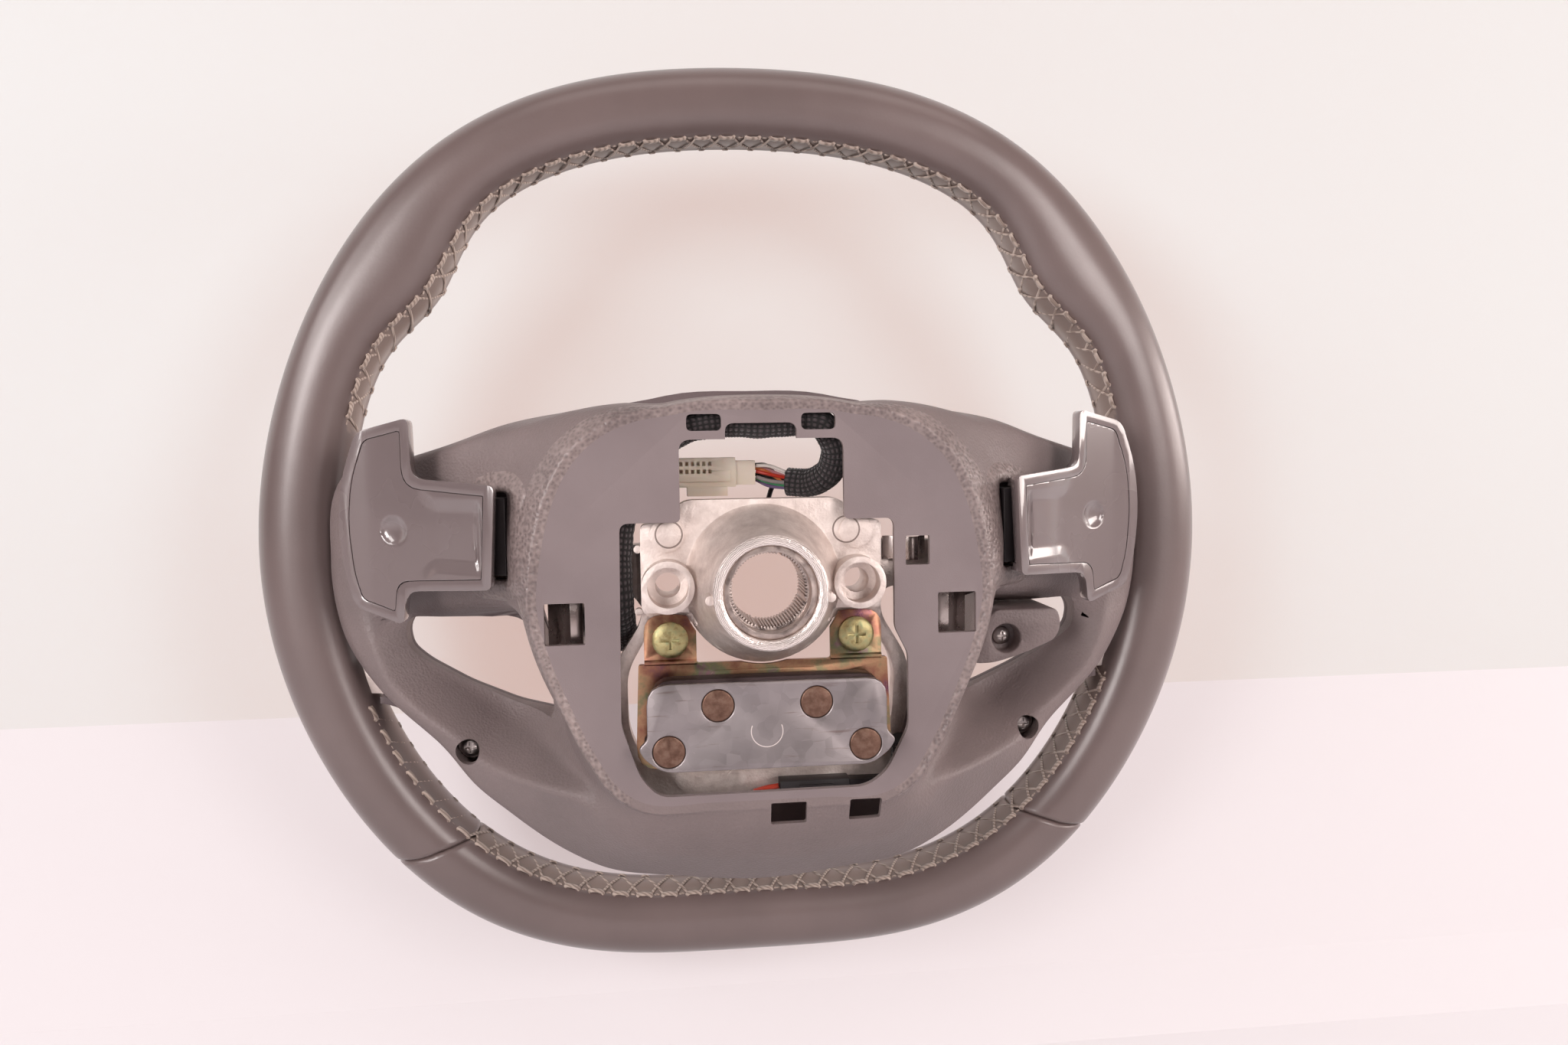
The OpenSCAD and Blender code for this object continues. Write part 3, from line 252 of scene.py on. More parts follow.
def galvanised():
    """Galvanised sheet steel: grey spangle, a scribed arc and scuffs from handling."""
    made, tree, shader, place = finish_named("galvanised_steel", Metallic=1.0)
    spangle = add(tree, "ShaderNodeTexVoronoi", {"Vector": place, "Scale": 260.0}).outputs["Color"]
    toned = blended(tree, 0.22, noise(tree, place, 45.0, 4.0), spangle)
    zinc = spread(tree, toned, [(0.3, "#837d7e"), (0.7, "#9f9899")])
    turned = add(tree, "ShaderNodeMapping",
                 {"Vector": place, "Rotation": (0.0, radians(24), 0.0), "Scale": (60.0, 1.0, 700.0)})
    streak = noise(tree, turned.outputs[0], 1.0, 3.0)
    scuff = reckon(tree, "MULTIPLY", spread(tree, streak, [(0.62, "#000000"), (0.72, "#ffffff")]), 0.55)
    dirty = mixed(tree, scuff, zinc, colour("#6f5b55"))
    # a scribed half ring, 10.4 mm across and 0.3 mm wide, low in the middle of the plate
    height = add(tree, "ShaderNodeSeparateXYZ", {0: place}).outputs[2]
    ring = ring_mark(tree, place, -0.0005, -0.0475, 0.0052, 0.00016)
    scribed = reckon(tree, "MULTIPLY", ring, reckon(tree, "LESS_THAN", height, -0.0455))
    coloured(tree, shader, mixed(tree, scribed, dirty, colour("#e9e0dd")))
    raised(tree, shader, (0.08, 0.0002, streak))
    shine(tree, shader, toned, 0.36, 0.5)
    return made


def knitted(name, code_low, code_high, rib_mm):
    """Knitted polyester sleeve: rows of loops that run round the bundle, matt and soft at its edge."""
    made, tree, shader, _ = finish_named(name, Roughness=0.85, Sheen_Weight=0.25, Sheen_Roughness=0.5)
    # the piece's own map runs in millimetres along and round it; the rows are drawn coarser so that they show
    along = add(tree, "ShaderNodeUVMap").outputs[0]
    rows = add(tree, "ShaderNodeTexWave", {"Vector": along, "Scale": 0.314 / rib_mm, "Distortion": 1.2, "Detail": 2.0,
                                           "Detail Scale": 2.0}, bands_direction="X")
    loops = add(tree, "ShaderNodeTexWave", {"Vector": along, "Scale": 0.314 / (rib_mm * 0.8), "Distortion": 1.0},
                bands_direction="Y")
    weave = reckon(tree, "MULTIPLY", rows.outputs["Fac"], loops.outputs["Fac"])
    coloured(tree, shader, spread(tree, weave, [(0.0, code_low), (0.8, code_high)]))
    raised(tree, shader, (0.9, 0.0006, weave))
    return made


def thread():
    """Bonded polyester sewing thread: two plies twisted together, faintly shiny."""
    made, tree, shader, place = finish_named("sewing_thread", Roughness=0.55, Sheen_Weight=0.15)
    # plies turn once in 1.2 mm
    ply = add(tree, "ShaderNodeTexWave", {"Vector": place, "Scale": 260.0, "Distortion": 2.0},
              bands_direction="DIAGONAL").outputs["Fac"]
    coloured(tree, shader, spread(tree, ply, [(0.1, "#98857b"), (0.7, "#c4b1a6")]))
    raised(tree, shader, (0.3, 0.0002, ply))
    return made


FINISH = {
    "rim_leather": leather(),
    "cover_plastic": grained("grained_polypropylene", "#7a6d6c", "#857675", 0.85, 0.6, 0.5, 0.15),
    "cover_plate": grained("satin_polypropylene", "#807374", "#887b7c", 0.35, 0.10, 0.44),
    "cover_bead": grained("coarse_grained_polypropylene", "#6f6261", "#9f8f8c", 1.2, 1.0, 0.36, 0.5),
    "trim_plastic": grained("dark_grained_polypropylene", "#5b4f51", "#665859", 0.7, 0.35, 0.55),
    "button_plastic": smooth_plastic("soft_painted_button", "#3e3638", 0.5),
    "paddle_plastic": smooth_plastic("grey_gloss_plastic", "#756868", 0.26, 3.0, 0.0, Coat_Weight=1.0,
                                     Coat_Roughness=0.09, Coat_IOR=1.6),
    "black_plastic": smooth_plastic("black_nylon", "#211c1e", 0.5, 0.3, 0.06),
    "cast_metal": cast_magnesium(),
    "sleeve_steel": metal("turned_steel", ["#8a7e7a", "#b5a8a2", "#cfc2bb"], 4.0, 0.34, 0.3, 0.1),
    "zinc_plate": galvanised(),
    "damper_iron": metal("raw_iron", ["#3a3030", "#55494a"], 12.0, 0.6, 0.5, 0.3),
    "bush_rubber": smooth_plastic("black_rubber", "#1b1718", 0.7, 0.5, 0.1),
    "rivet_steel": metal("brown_annealed_steel", ["#634b41", "#765c50", "#876f62"], 2.4, 0.46, 0.25, 0.2),
    "chromate_steel": metal("yellow_chromate_steel", ["#6a4656", "#8a6050", "#9f7d62", "#717358", "#80566a"],
                            14.0, 0.34, 0.5, 0.06),
    "chromate_screw": metal("green_chromate_screw", ["#8f8256", "#b3a87c", "#9ba27c"], 2.0, 0.42, 0.3, 0.3),
    "screw_steel": metal("zinc_screw", ["#a39b99", "#c9c1be"], 3.0, 0.35, 0.3, 0.1),
    "spring_steel": metal("bright_spring_steel", ["#b3a8a4", "#d6ccc8"], 9.0, 0.27, 0.5, 0.05),
    "cloth_tape": knitted("black_knitted_sleeve", "#0d0a0b", "#4a4043", 2.0),
    "wire_red": smooth_plastic("red_vinyl", "#c2402c", 0.4),
    "wire_black": smooth_plastic("black_vinyl", "#1d191a", 0.4),
    "nylon_white": smooth_plastic("natural_nylon", "#e9dccb", 0.42, 0.6, 0.04, Subsurface_Weight=0.12,
                                  Subsurface_Scale=0.002),
    "thread": thread(),
}
WIRE_COLOURS = [
    ("white_vinyl", "#e5dcd6"), ("pink_vinyl", "#cf8f94"), ("red_vinyl_bright", "#b5301f"),
    ("black_vinyl_thin", "#1f1a1b"), ("green_vinyl", "#3f8a5c"), ("orange_vinyl", "#cf7440"),
    ("grey_vinyl", "#8f8684"), ("violet_vinyl", "#6f5a80")]
SLOT_OF = {
    "cast_metal": "armature",
    "sleeve_steel": "hub_insert",
    "trim_plastic": "front_trim pod_face",
    "screw_steel": "trim_screws pod_rear_screw paddle_left_pin paddle_right_pin",
    "black_plastic": "switch_left switch_right paddle_left_base paddle_right_base connector_black",
    "button_plastic": "cap_left_upper cap_left_lower cap_right_upper cap_right_lower rocker_left rocker_right "
                      "pod_button",
    "paddle_plastic": "paddle_left_frame paddle_right_frame",
    "cover_plastic": "pod_housing",
    "zinc_plate": "damper_plate",
    "damper_iron": "damper_weight",
    "bush_rubber": "damper_bushes",
    "rivet_steel": "damper_rivets",
    "chromate_steel": "damper_bracket",
    "chromate_screw": "bracket_screws",
    "spring_steel": "latch_springs small_latch",
}
# width of the soft edges, by node
USUAL_EDGE = 0.3
EDGE_MM = {
    "armature": 0.7, "hub_insert": 0.15, "paddle_left_frame": 0.7, "paddle_right_frame": 0.7, "damper_plate": 0.6,
    "damper_bracket": 0.4, "damper_rivets": 0.5, "latch_springs": 0.15, "small_latch": 0.1, "connector_black": 0.25,
    "pod_rear_screw": 0.12, "pod_face": 0.1, "pod_button": 0.12, "trim_screws": 0.12, "pod_housing": 0.8,
    "damper_bushes": 0.2, "paddle_left_pin": 0.2, "paddle_right_pin": 0.2}
# the flat faces of these nodes wind round their openings, so they stay in triangles
KEPT_IN_TRIANGLES = ("front_trim", "latch_springs", "small_latch")


# ---------------------------------------------------------------- making pieces
def made_mesh(name, points, faces, finishes, indices=None):
    """Object at the origin from points in millimetres."""
    mesh = bpy.data.meshes.new(name)
    mesh.from_pydata([[c * MM for c in p] for p in points], [], faces)
    for f in finishes:
        mesh.materials.append(f)
    if indices:
        mesh.polygons.foreach_set("material_index", indices)
    return placed(name, mesh)


def smooth(piece, sharp):
    """Shaded smooth, with edges sharper than the given angle kept."""
    piece.data.shade_smooth()
    piece.data.set_sharp_from_angle(angle=radians(sharp))


def rework(piece, step):
    """Runs one bmesh step on a piece's mesh."""
    form = bmesh.new()
    form.from_mesh(piece.data)
    step(form)
    form.to_mesh(piece.data)
    form.free()


def outward(piece, sharp=32):
    """Faces turned outwards and shaded smooth."""
    rework(piece, lambda form: bmesh.ops.recalc_face_normals(form, faces=form.faces))
    smooth(piece, sharp)


def evaluated(piece):
    """Makes the piece's modifiers part of its mesh."""
    mesh = bpy.data.meshes.new_from_object(piece.evaluated_get(bpy.context.evaluated_depsgraph_get()))
    piece.modifiers.clear()
    piece.data = mesh


def soften(piece, width, sharp):
    """Bevels the edges that are sharper than the given angle, by a width in millimetres."""
    soft = piece.modifiers.new("soft_edges", "BEVEL")
    soft.width = width * MM
    soft.segments = 2
    soft.limit_method = "ANGLE"
    soft.angle_limit = radians(sharp)


def combine(piece, operation, other):
    """Cuts a piece by another, or keeps what both hold."""
    cut = piece.modifiers.new("cut", "BOOLEAN")
    cut.operation = operation
    cut.object = other
    cut.solver = "EXACT"


def settle(piece, body, slot, *nodes):
    """Puts a finished piece on its body, in place of its CAD nodes. The slot argument is not used."""
    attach(piece, body)
    if nodes:
        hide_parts(*nodes)


SAME_POINT, SAME_PLANE = 3e-6, 0.8  # metres apart, degrees apart


def merged(node, name, finish):
    """A copy of a CAD node with its doubled points merged and its flat faces joined."""
    form = bmesh.new()
    form.from_mesh(frame["nodes"][node].data)
    bmesh.ops.remove_doubles(form, verts=form.verts, dist=SAME_POINT)
    if node not in KEPT_IN_TRIANGLES:
        bmesh.ops.dissolve_limit(form, angle_limit=radians(SAME_PLANE), verts=form.verts, edges=form.edges)
    mesh = bpy.data.meshes.new(name)
    form.to_mesh(mesh)
    form.free()
    mesh.materials.append(FINISH[finish])
    return placed(name, mesh)


def dress(node, slot, edge):
    """A merged copy of a CAD node with soft edges and its finish."""
    piece = merged(node, node + "_form", slot)
    soften(piece, edge, 36)
    evaluated(piece)
    smooth(piece, 40)
    settle(piece, frame["nodes"][node]["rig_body"], slot, node)


SIDE_SHARE = 0.45  # most of a side that one eased corner takes


def corner(b, before, after, setback, n):
    """Short curve that eases the corner at b."""
    u, v = before - b, after - b
    e = min(setback, SIDE_SHARE * u.length, SIDE_SHARE * v.length)
    start, end = b + u.normalized() * e, b + v.normalized() * e
    return [(1 - k / n) ** 2 * start + 2 * (k / n) * (1 - k / n) * b + (k / n) ** 2 * end for k in range(n + 1)]


def eased(corners, n=6):
    """Outline of corners (x, z, setback), each eased by a short curve."""
    points = []
    for i, (x, z, e) in enumerate(corners):
        b = Vector((x, z))
        before, after = (Vector(corners[j % len(corners)][:2]) for j in (i - 1, i + 1))
        points += corner(b, before, after, e, n) if e else [b]
    return [(p.x, p.y) for p in points]


def strips(count, n, base=0, closed=False):
    """Faces between rings of n points each."""
    return [tuple(base + r % count * n + c % n for r, c in ((i, j), (i, j + 1), (i + 1, j + 1), (i + 1, j)))
            for i in range(count if closed else count - 1) for j in range(n)]


def prism(outline, y0, y1):
    """Points and faces of an outline in x and z drawn along y."""
    n = len(outline)
    points = [(x, y0, z) for x, z in outline] + [(x, y1, z) for x, z in outline]
    return points, strips(2, n) + [tuple(range(n)), tuple(range(2 * n - 1, n - 1, -1))]


def mirrored(outline):
    return [(-x, z) for x, z in reversed(outline)]


def rect(x0, x1, z0, z1, r=0.0):
    corners = [(x0, z0), (x1, z0), (x1, z1), (x0, z1)]
    return eased([c + (r,) for c in corners]) if r else corners


def round_hole(x, z, r, n=48):
    return [(x + r * cos(2 * pi * k / n), z + r * sin(2 * pi * k / n)) for k in range(n)]


def carve(piece, tools):
    """Takes prisms (outline, y0, y1) out of a piece."""
    shelf = bpy.data.collections.new("tools")
    bpy.context.scene.collection.children.link(shelf)
    cutters = []
    for outline, y0, y1 in tools:
        cutter = made_mesh("tool", *prism(outline, y0, y1), [])
        outward(cutter)
        bpy.context.scene.collection.objects.unlink(cutter)
        shelf.objects.link(cutter)
        cutters.append(cutter)
    cut = piece.modifiers.new("cut", "BOOLEAN")
    cut.operation = "DIFFERENCE"
    cut.operand_type = "COLLECTION"
    cut.collection = shelf
    cut.solver = "EXACT"
    evaluated(piece)
    for cutter in cutters:
        bpy.data.objects.remove(cutter)
    bpy.data.collections.remove(shelf)


def rings_mesh(rings):
    """Points and faces of a closed solid through rings, with flat ends."""
    n = len(rings[0])
    points = [p for ring in rings for p in ring]
    ends = [tuple(range(n))[::-1], tuple(range((len(rings) - 1) * n, len(rings) * n))]
    return points, strips(len(rings), n) + ends


def curve_through(points, n):
    """Smooth curve through points, n steps between each two."""
    p = [Vector(q) for q in points]
    p = [2 * p[0] - p[1]] + p + [2 * p[-1] - p[-2]]
    line = []
    for i in range(1, len(p) - 2):
        for k in range(n):
            t = k / n
            line.append(0.5 * (2 * p[i] + (p[i + 1] - p[i - 1]) * t
                               + (2 * p[i - 1] - 5 * p[i] + 4 * p[i + 1] - p[i + 2]) * t * t
                               + (3 * p[i] - p[i - 1] - 3 * p[i + 1] + p[i + 2]) * t ** 3))
    return line + [p[-2]]


def tube(name, points, radius, finish, around=12, steps=6, swell=None):
    """Round tube along a curve, with a map in millimetres along and round it.
    swell(distance, turn) changes its radius."""
    line = curve_through(points, steps)
    side = Vector((0.0, 0.0, 1.0))
    rings, run = [], [0.0]
    for i, c in enumerate(line):
        d = (line[min(i + 1, len(line) - 1)] - line[max(i - 1, 0)]).normalized()
        if i:
            run.append(run[-1] + (c - line[i - 1]).length)
        side = (side - d * side.dot(d)).normalized()
        if side.length < 0.5:
            side = d.orthogonal().normalized()
        up = d.cross(side)
        rings.append([tuple(c + (side * cos(2 * pi * k / around) + up * sin(2 * pi * k / around))
                            * radius * (swell(run[i], k / around) if swell else 1.0)) for k in range(around)])
    points_, faces = rings_mesh(rings)
    piece = made_mesh(name, points_, faces, [finish])
    uv = piece.data.uv_layers.new(name="UVMap")
    for polygon in piece.data.polygons:
        used = [piece.data.loops[c].vertex_index for c in polygon.loop_indices]
        closing = any(v % around == around - 1 for v in used)
        for c, v in zip(polygon.loop_indices, used):
            ring, k = divmod(v, around)
            if k == 0 and closing:
                k = around
            uv.data[c].uv = (run[ring], k / around * 2 * pi * radius)
    outward(piece)
    return piece


# ---------------------------------------------------------------- rim
RIM_Y, RIM_T, RIM_D = 99.0, 29.0, 32.0


def from_top(a):
    a = a % 360
    return min(a, 360 - a)


def outer_r(a):
    return 182 + sum(k * cos(radians(m * a)) for k, m in ((14.7, 1), (-3.8, 2), (1.9, 3), (-3.5, 4), (-1.4, 6)))


def grip_w(a):
    return RIM_T + 9.5 * exp(-((from_top(a) - 48) / 9) ** 2) + 3 * exp(-((from_top(a) - 85) / 26) ** 2)


def power(v, e):
    return abs(v) ** e * (1 if v >= 0 else -1)


def rim_point(a, t, sink=0.0):
    """Place on the leather at angle a from the top and t round the section, sunk below the skin."""
    w, d = grip_w(a) / 2 - sink, RIM_D / 2 - sink
    r = outer_r(a) - grip_w(a) / 2 + w * power(cos(radians(t)), 0.87)
    return Vector((r * sin(radians(a)), RIM_Y + d * power(sin(radians(t)), 0.87), r * cos(radians(a))))


LACE_FRONT = 171.0  # section angle of the front row of stitches
LACED_RANGES = [(-71, 71), (107, 253)]
LACE_REPEAT, THREAD_STAND = 9.3, 6.6  # length of one repeat, and what the unit's height is multiplied by
MARK_STEP = 0.25  # degrees between the places that are measured along the row


def lace_rear(a):
    """Section angle of the rear row of stitches, which lies further round where the grip is thick."""
    return 209 + 11 * exp(-((from_top(a) - 56) / 16) ** 2) + 7 * min(1.0, max(0.0, (from_top(a) - 90) / 20))


def laced_here(a):
    """1 where the two edges are laced together, fading out under the spokes."""
    a = a if a < 255 else a - 360
    return max([0.0] + [min(1.0, (a - lo) / 1.5, (hi - a) / 1.5) for lo, hi in LACED_RANGES if lo < a < hi])


SEAM_GAP = 0.05  # degrees between the two lengths of leather


def seam_angle(t):
    return 131.5 - 2.5 * cos(radians(t))


def lace_depth(a, t):
    """How far the leather is pulled in between the two rows of stitches."""
    rear = lace_rear(a)
    if not LACE_FRONT - 6 < t < rear + 6:
        return 0.0
    edge = min(1.0, max(0.0, (t - (LACE_FRONT - 4)) / 6), max(0.0, ((rear + 3) - t) / 5))
    return 0.6 * edge * laced_here(a)


def leather_piece(name, first, last, steps, around=72):
    """Tube of leather between two slanted seams, its ends rolled in."""
    rings, sunk = [], []
    roll = 1.6
    for i in range(steps + 1):
        f = 0.5 - 0.5 * cos(pi * i / steps) if steps < 60 else i / steps
        ring = []
        for j in range(around):
            t = j * 360 / around
            lo, hi = first(t), last(t)
            a = lo + (hi - lo) * f
            near = min(a - lo, hi - a) * radians(1) * 165
            fall = 1.3 * (1 - sqrt(max(0.0, 1 - (1 - min(1.0, near / roll)) ** 2)))
            ring.append(rim_point(a, t, fall + lace_depth(a, t)))
            sunk.append(1.0 if lace_depth(a, t) > 0.3 else 0.0)
        rings.append(ring)
    points, faces = rings_mesh(rings)
    piece = made_mesh(name, points, faces, [FINISH["rim_leather"]])
    mark = piece.data.attributes.new("laced", "FLOAT", "POINT")
    mark.data.foreach_set("value", sunk)
    outward(piece, 60)
    return piece


def build_rim():
    upper = leather_piece("upper_leather", lambda t: -seam_angle(t), seam_angle, 640)
    lower = leather_piece("lower_leather", lambda t: seam_angle(t) + SEAM_GAP, lambda t: 360 - seam_angle(t) - SEAM_GAP,
                          260)
    settle(upper, "wheel", "rim_leather", "grip_upper")
    settle(lower, "wheel", "rim_leather", "grip_lower")


def thread_unit():
    """One repeat of the lacing: a bar on the rear edge, two threads that cross beside it and a short stitch in front.
    It lies along x, with y towards the front row and z out of the leather, one repeat long and one row apart."""
    def crossing(way, rise):
        return [(way * (0.24 + 0.76 * v), v, 0.02 + 0.50 * v * (1 - v) + rise * sin(pi * v) - 0.05 * v)
                for v in (k / 7 for k in range(8))]

    lines = [
        ([(-0.27, -0.03, -0.04), (-0.24, -0.03, 0.06), (-0.10, -0.04, 0.10),
          (0.10, -0.04, 0.10), (0.24, -0.03, 0.06), (0.27, -0.03, -0.04)], 0.1),
        (crossing(1, 0.07), 0.056),
        (crossing(-1, 0.02), 0.056),
        ([(-0.16, 1.03, -0.05), (-0.08, 1.04, 0.05), (0.08, 1.04, 0.05), (0.16, 1.03, -0.05)], 0.05),
        ([(0.40, 0.02, -0.04), (0.46, 0.0, 0.03), (0.54, 0.0, 0.03), (0.60, 0.02, -0.04)], 0.04),
    ]
    points, faces = [], []
    for line, r in lines:
        base, n = len(points), 6
        for i, c in enumerate(line):
            d = (Vector(line[min(i + 1, len(line) - 1)]) - Vector(line[max(i - 1, 0)])).normalized()
            s = d.cross(Vector((0, 0, 1))).normalized()
            u = s.cross(d)
            points += [tuple(Vector(c) + r * (s * cos(2 * pi * k / n) + u * sin(2 * pi * k / n))) for k in range(n)]
        faces += strips(len(line), n, base)
        faces += [tuple(base + k for k in range(n))[::-1], tuple(base + (len(line) - 1) * n + k for k in range(n))]
    unit = made_mesh("thread_unit", [[c * 1000 for c in p] for p in points], faces, [])
    outward(unit, 60)
    return unit


def lace_points():
    """Repeats along the rear row of stitches: place, way along, way across to the front row, way out, and length."""
    rows = []
    for lo, hi in LACED_RANGES:
        length, marks, a = 0.0, [], lo
        while a < hi:
            marks.append((length, a))
            length += (rim_point(a + MARK_STEP, lace_rear(a)) - rim_point(a, lace_rear(a))).length
            a += MARK_STEP
        count = int(length / LACE_REPEAT)
        for k in range(1, count):
            want = length * k / count
            a = min(marks, key=lambda m: abs(m[0] - want))[1]
            here = rim_point(a, lace_rear(a), 0.35)
            along = (rim_point(a + 0.5, lace_rear(a)) - rim_point(a - 0.5, lace_rear(a))).normalized()
            across = rim_point(a, LACE_FRONT, 0.35) - here
            out = along.cross(across).normalized()
            middle = outer_r(a) - grip_w(a) / 2
            centre = Vector((middle * sin(radians(a)), RIM_Y, middle * cos(radians(a))))
            if out.dot(here - centre) < 0:
                out, along = -out, -along
            step = length / count
            rows.append((here, along, across, out, step))
    return rows


def build_lacing():
    """The thread that laces the two edges of the leather together, one unit set on each repeat."""
    rows = lace_points()
    unit = thread_unit()
    seat = made_mesh("lacing", [tuple(r[0]) for r in rows], [], [])
    for name, values in (("along", [tuple(r[1]) for r in rows]), ("out", [tuple(r[3]) for r in rows]),
                         ("size", [(r[4] * MM, r[2].length * MM, THREAD_STAND * MM) for r in rows])):
        field = seat.data.attributes.new(name, "FLOAT_VECTOR", "POINT")
        field.data.foreach_set("vector", [c for v in values for c in v])
    tree = bpy.data.node_groups.new("lay_lacing", "GeometryNodeTree")
    tree.interface.new_socket("Geometry", in_out="INPUT", socket_type="NodeSocketGeometry")
    tree.interface.new_socket("Thread unit", in_out="INPUT", socket_type="NodeSocketObject")
    width = tree.interface.new_socket("Thread size", in_out="INPUT", socket_type="NodeSocketFloat")
    width.default_value = 1.0
    tree.interface.new_socket("Finish", in_out="INPUT", socket_type="NodeSocketMaterial")
    tree.interface.new_socket("Geometry", in_out="OUTPUT", socket_type="NodeSocketGeometry")
    source = add(tree, "NodeGroupInput")
    shape = add(tree, "GeometryNodeObjectInfo", {"Object": source.outputs["Thread unit"]})
    along, out, size = (
        add(tree, "GeometryNodeInputNamedAttribute", {"Name": name}, data_type="FLOAT_VECTOR").outputs[0]
        for name in ("along", "out", "size"))
    turned = add(tree, "FunctionNodeAxesToRotation", {0: out, 1: along}, primary_axis="Z", secondary_axis="X")
    scaled = add(tree, "ShaderNodeVectorMath", {0: size, "Scale": source.outputs["Thread size"]}, operation="SCALE")
    laid = add(tree, "GeometryNodeInstanceOnPoints", {
        "Points": source.outputs["Geometry"], "Instance": shape.outputs["Geometry"],
        "Rotation": turned.outputs[0], "Scale": scaled.outputs[0]})
    real = add(tree, "GeometryNodeRealizeInstances", {"Geometry": laid.outputs[0]})
    painted = add(tree, "GeometryNodeSetMaterial", {"Geometry": real.outputs[0], "Material": source.outputs["Finish"]})
    add(tree, "NodeGroupOutput", {0: painted.outputs[0]})
    layer = seat.modifiers.new("lay_lacing", "NODES")
    layer.node_group = tree
    sockets = {s.name: s.identifier for s in tree.interface.items_tree if s.in_out == "INPUT"}
    layer[sockets["Thread unit"]] = unit
    layer[sockets["Thread size"]] = 1.0
    layer[sockets["Finish"]] = FINISH["thread"]
    evaluated(seat)
    bpy.data.objects.remove(unit)
    seat.data.shade_smooth()
    settle(seat, "wheel", "rim_leather")


# ---------------------------------------------------------------- back cover
PLATE_Y, PART_Y, WALL, BEAD = 22.0, 86.0, 2.5, 1.4
PLATE = [(0, 57.4), (27, 63), (37, 67.8), (47, 72), (58, 74), (80, 73.4), (95, 74.5), (107, 74), (121, 75),
         (134, 79), (144, 83), (152, 82.5), (165, 75.6), (180, 73)]
SHOULDER = [(0, 62.3, 26), (27, 67, 25.5), (37, 73.5, 25), (47, 79, 25.5), (58, 82, 26), (80, 82, 26),
            (95, 80, 26), (121, 79.5, 26), (134, 83, 26), (144, 86.5, 24.5), (152, 86, 23), (165, 79.5, 22.6),
            (180, 77, 22.5)]
FOOT = [(0, 63, 34), (27, 68, 33), (37, 75, 29.5), (47, 83, 31), (58, 90, 35), (76, 91, 38), (88, 90, 39),
        (95, 86, 44), (100, 82.5, 76), (107, 82, 82), (121, 82.5, 80), (127, 87, 60), (134, 89, 44),
        (140, 88.5, 33), (146, 89.5, 27), (153, 90, 25.5), (165, 84, 24.5), (180, 82, 24)]
VALLEY = [(0, 63.4, 50), (27, 68.5, 48), (37, 76, 37), (47, 85.3, 37), (58, 97, 42), (66, 105, 48), (76, 116, 58),
          (88, 119, 61), (95, 120, 70), (100, 124, 82), (107, 121, 82), (114, 112, 82), (121, 105, 78),
          (127, 98, 67), (134, 94, 50), (140, 91, 36), (146, 93.5, 29), (153, 94.5, 28), (165, 90, 27.5),
          (180, 88, 27)]
CREST = [(0, 63.8, 68), (27, 69, 68), (37, 76.6, 60), (47, 86.4, 56), (58, 100, 47), (66, 115, 55), (72, 132, 67),
         (76, 149, 78), (88, 150, 79), (95, 144, 76), (100, 140.5, 72), (107, 137.5, 70), (118, 124.5, 66),
         (122, 122, 64.5), (127, 114.5, 55), (134, 103.5, 42), (140, 97, 34.5), (146, 100, 33), (153, 102, 33.5),
         (165, 99, 34), (180, 97, 33.5)]
BROW = [(0, 63.9, 78), (27, 69.2, 78), (37, 76.9, 75), (47, 86.8, 72), (58, 102.4, 54), (66, 117.2, 62),
        (72, 135, 73), (76, 152.5, 82), (88, 153.5, 82.5), (95, 152, 81), (100, 149, 78.5), (107, 143.5, 76),
        (118, 131, 70), (127, 128, 66), (134, 124.5, 62), (146, 121, 56), (153, 119, 54), (165, 113, 52),
        (180, 111, 50)]
EDGE = [(0, 64), (27, 69.3), (37, 77), (47, 87), (58, 103), (66, 118), (72, 136), (76, 154), (88, 155.5),
        (95, 154.5), (100, 152.5), (107, 146.5), (111, 140.5), (118, 134), (127, 130.2), (142, 126.8), (151, 125),
        (160, 122.7), (170, 118.8), (180, 117.9)]
WINDOW = [(-27.2, 48, 4), (27.2, 48, 4), (27.2, 21, 2), (44, 21, 3), (44, -16, 2), (48.5, -25, 2), (48.5, -50, 3),
          (41, -65, 5), (34, -70, 4), (-36, -70.5, 4), (-42, -64, 5), (-48, -46, 3), (-47, 21, 3), (-27.2, 21, 2)]
OPENING = [(125, -14.8, 3), (128, -20, 3), (127, -27, 3), (121, -32.5, 4), (106, -41.5, 4), (88, -49.5, 4),
           (73, -53.5, 3), (78.5, -36, 3), (83.5, -20, 3), (89, -16, 3), (103, -15.3, 3)]


COVER_STEPS, HOLLOW_STEPS, COVER_EASING = 288, 96, (1.4, 1.6, 2.6, 4.5, 3.2, 2.6)


def smooth_row(rows, a, c):
    """Value in column c of a table at angle a, on a smooth curve through its rows."""
    i = 0
    while i < len(rows) - 2 and a >= rows[i + 1][0]:
        i += 1
    h = rows[i + 1][0] - rows[i][0]
    t = (a - rows[i][0]) / h

    def slope(k):
        return 0 if k in (0, len(rows) - 1) else (rows[k + 1][c] - rows[k - 1][c]) / (rows[k + 1][0] - rows[k - 1][0])

    return ((2 * t ** 3 - 3 * t * t + 1) * rows[i][c] + (t ** 3 - 2 * t * t + t) * h * slope(i)
            + (3 * t * t - 2 * t ** 3) * rows[i + 1][c] + (t ** 3 - t * t) * h * slope(i + 1))


def cover_profile(a):
    a = from_top(a)
    r = smooth_row(PLATE, a, 1)
    bead = BEAD * max(0, min(1, (150 - a) / 10))
    sides = [(smooth_row(rows, a, 1), smooth_row(rows, a, 2)) for rows in (SHOULDER, FOOT, VALLEY, CREST, BROW)]
    return [(r, PLATE_Y), (r + 3, PLATE_Y - bead)] + sides + [(smooth_row(EDGE, a, 1), PART_Y)]


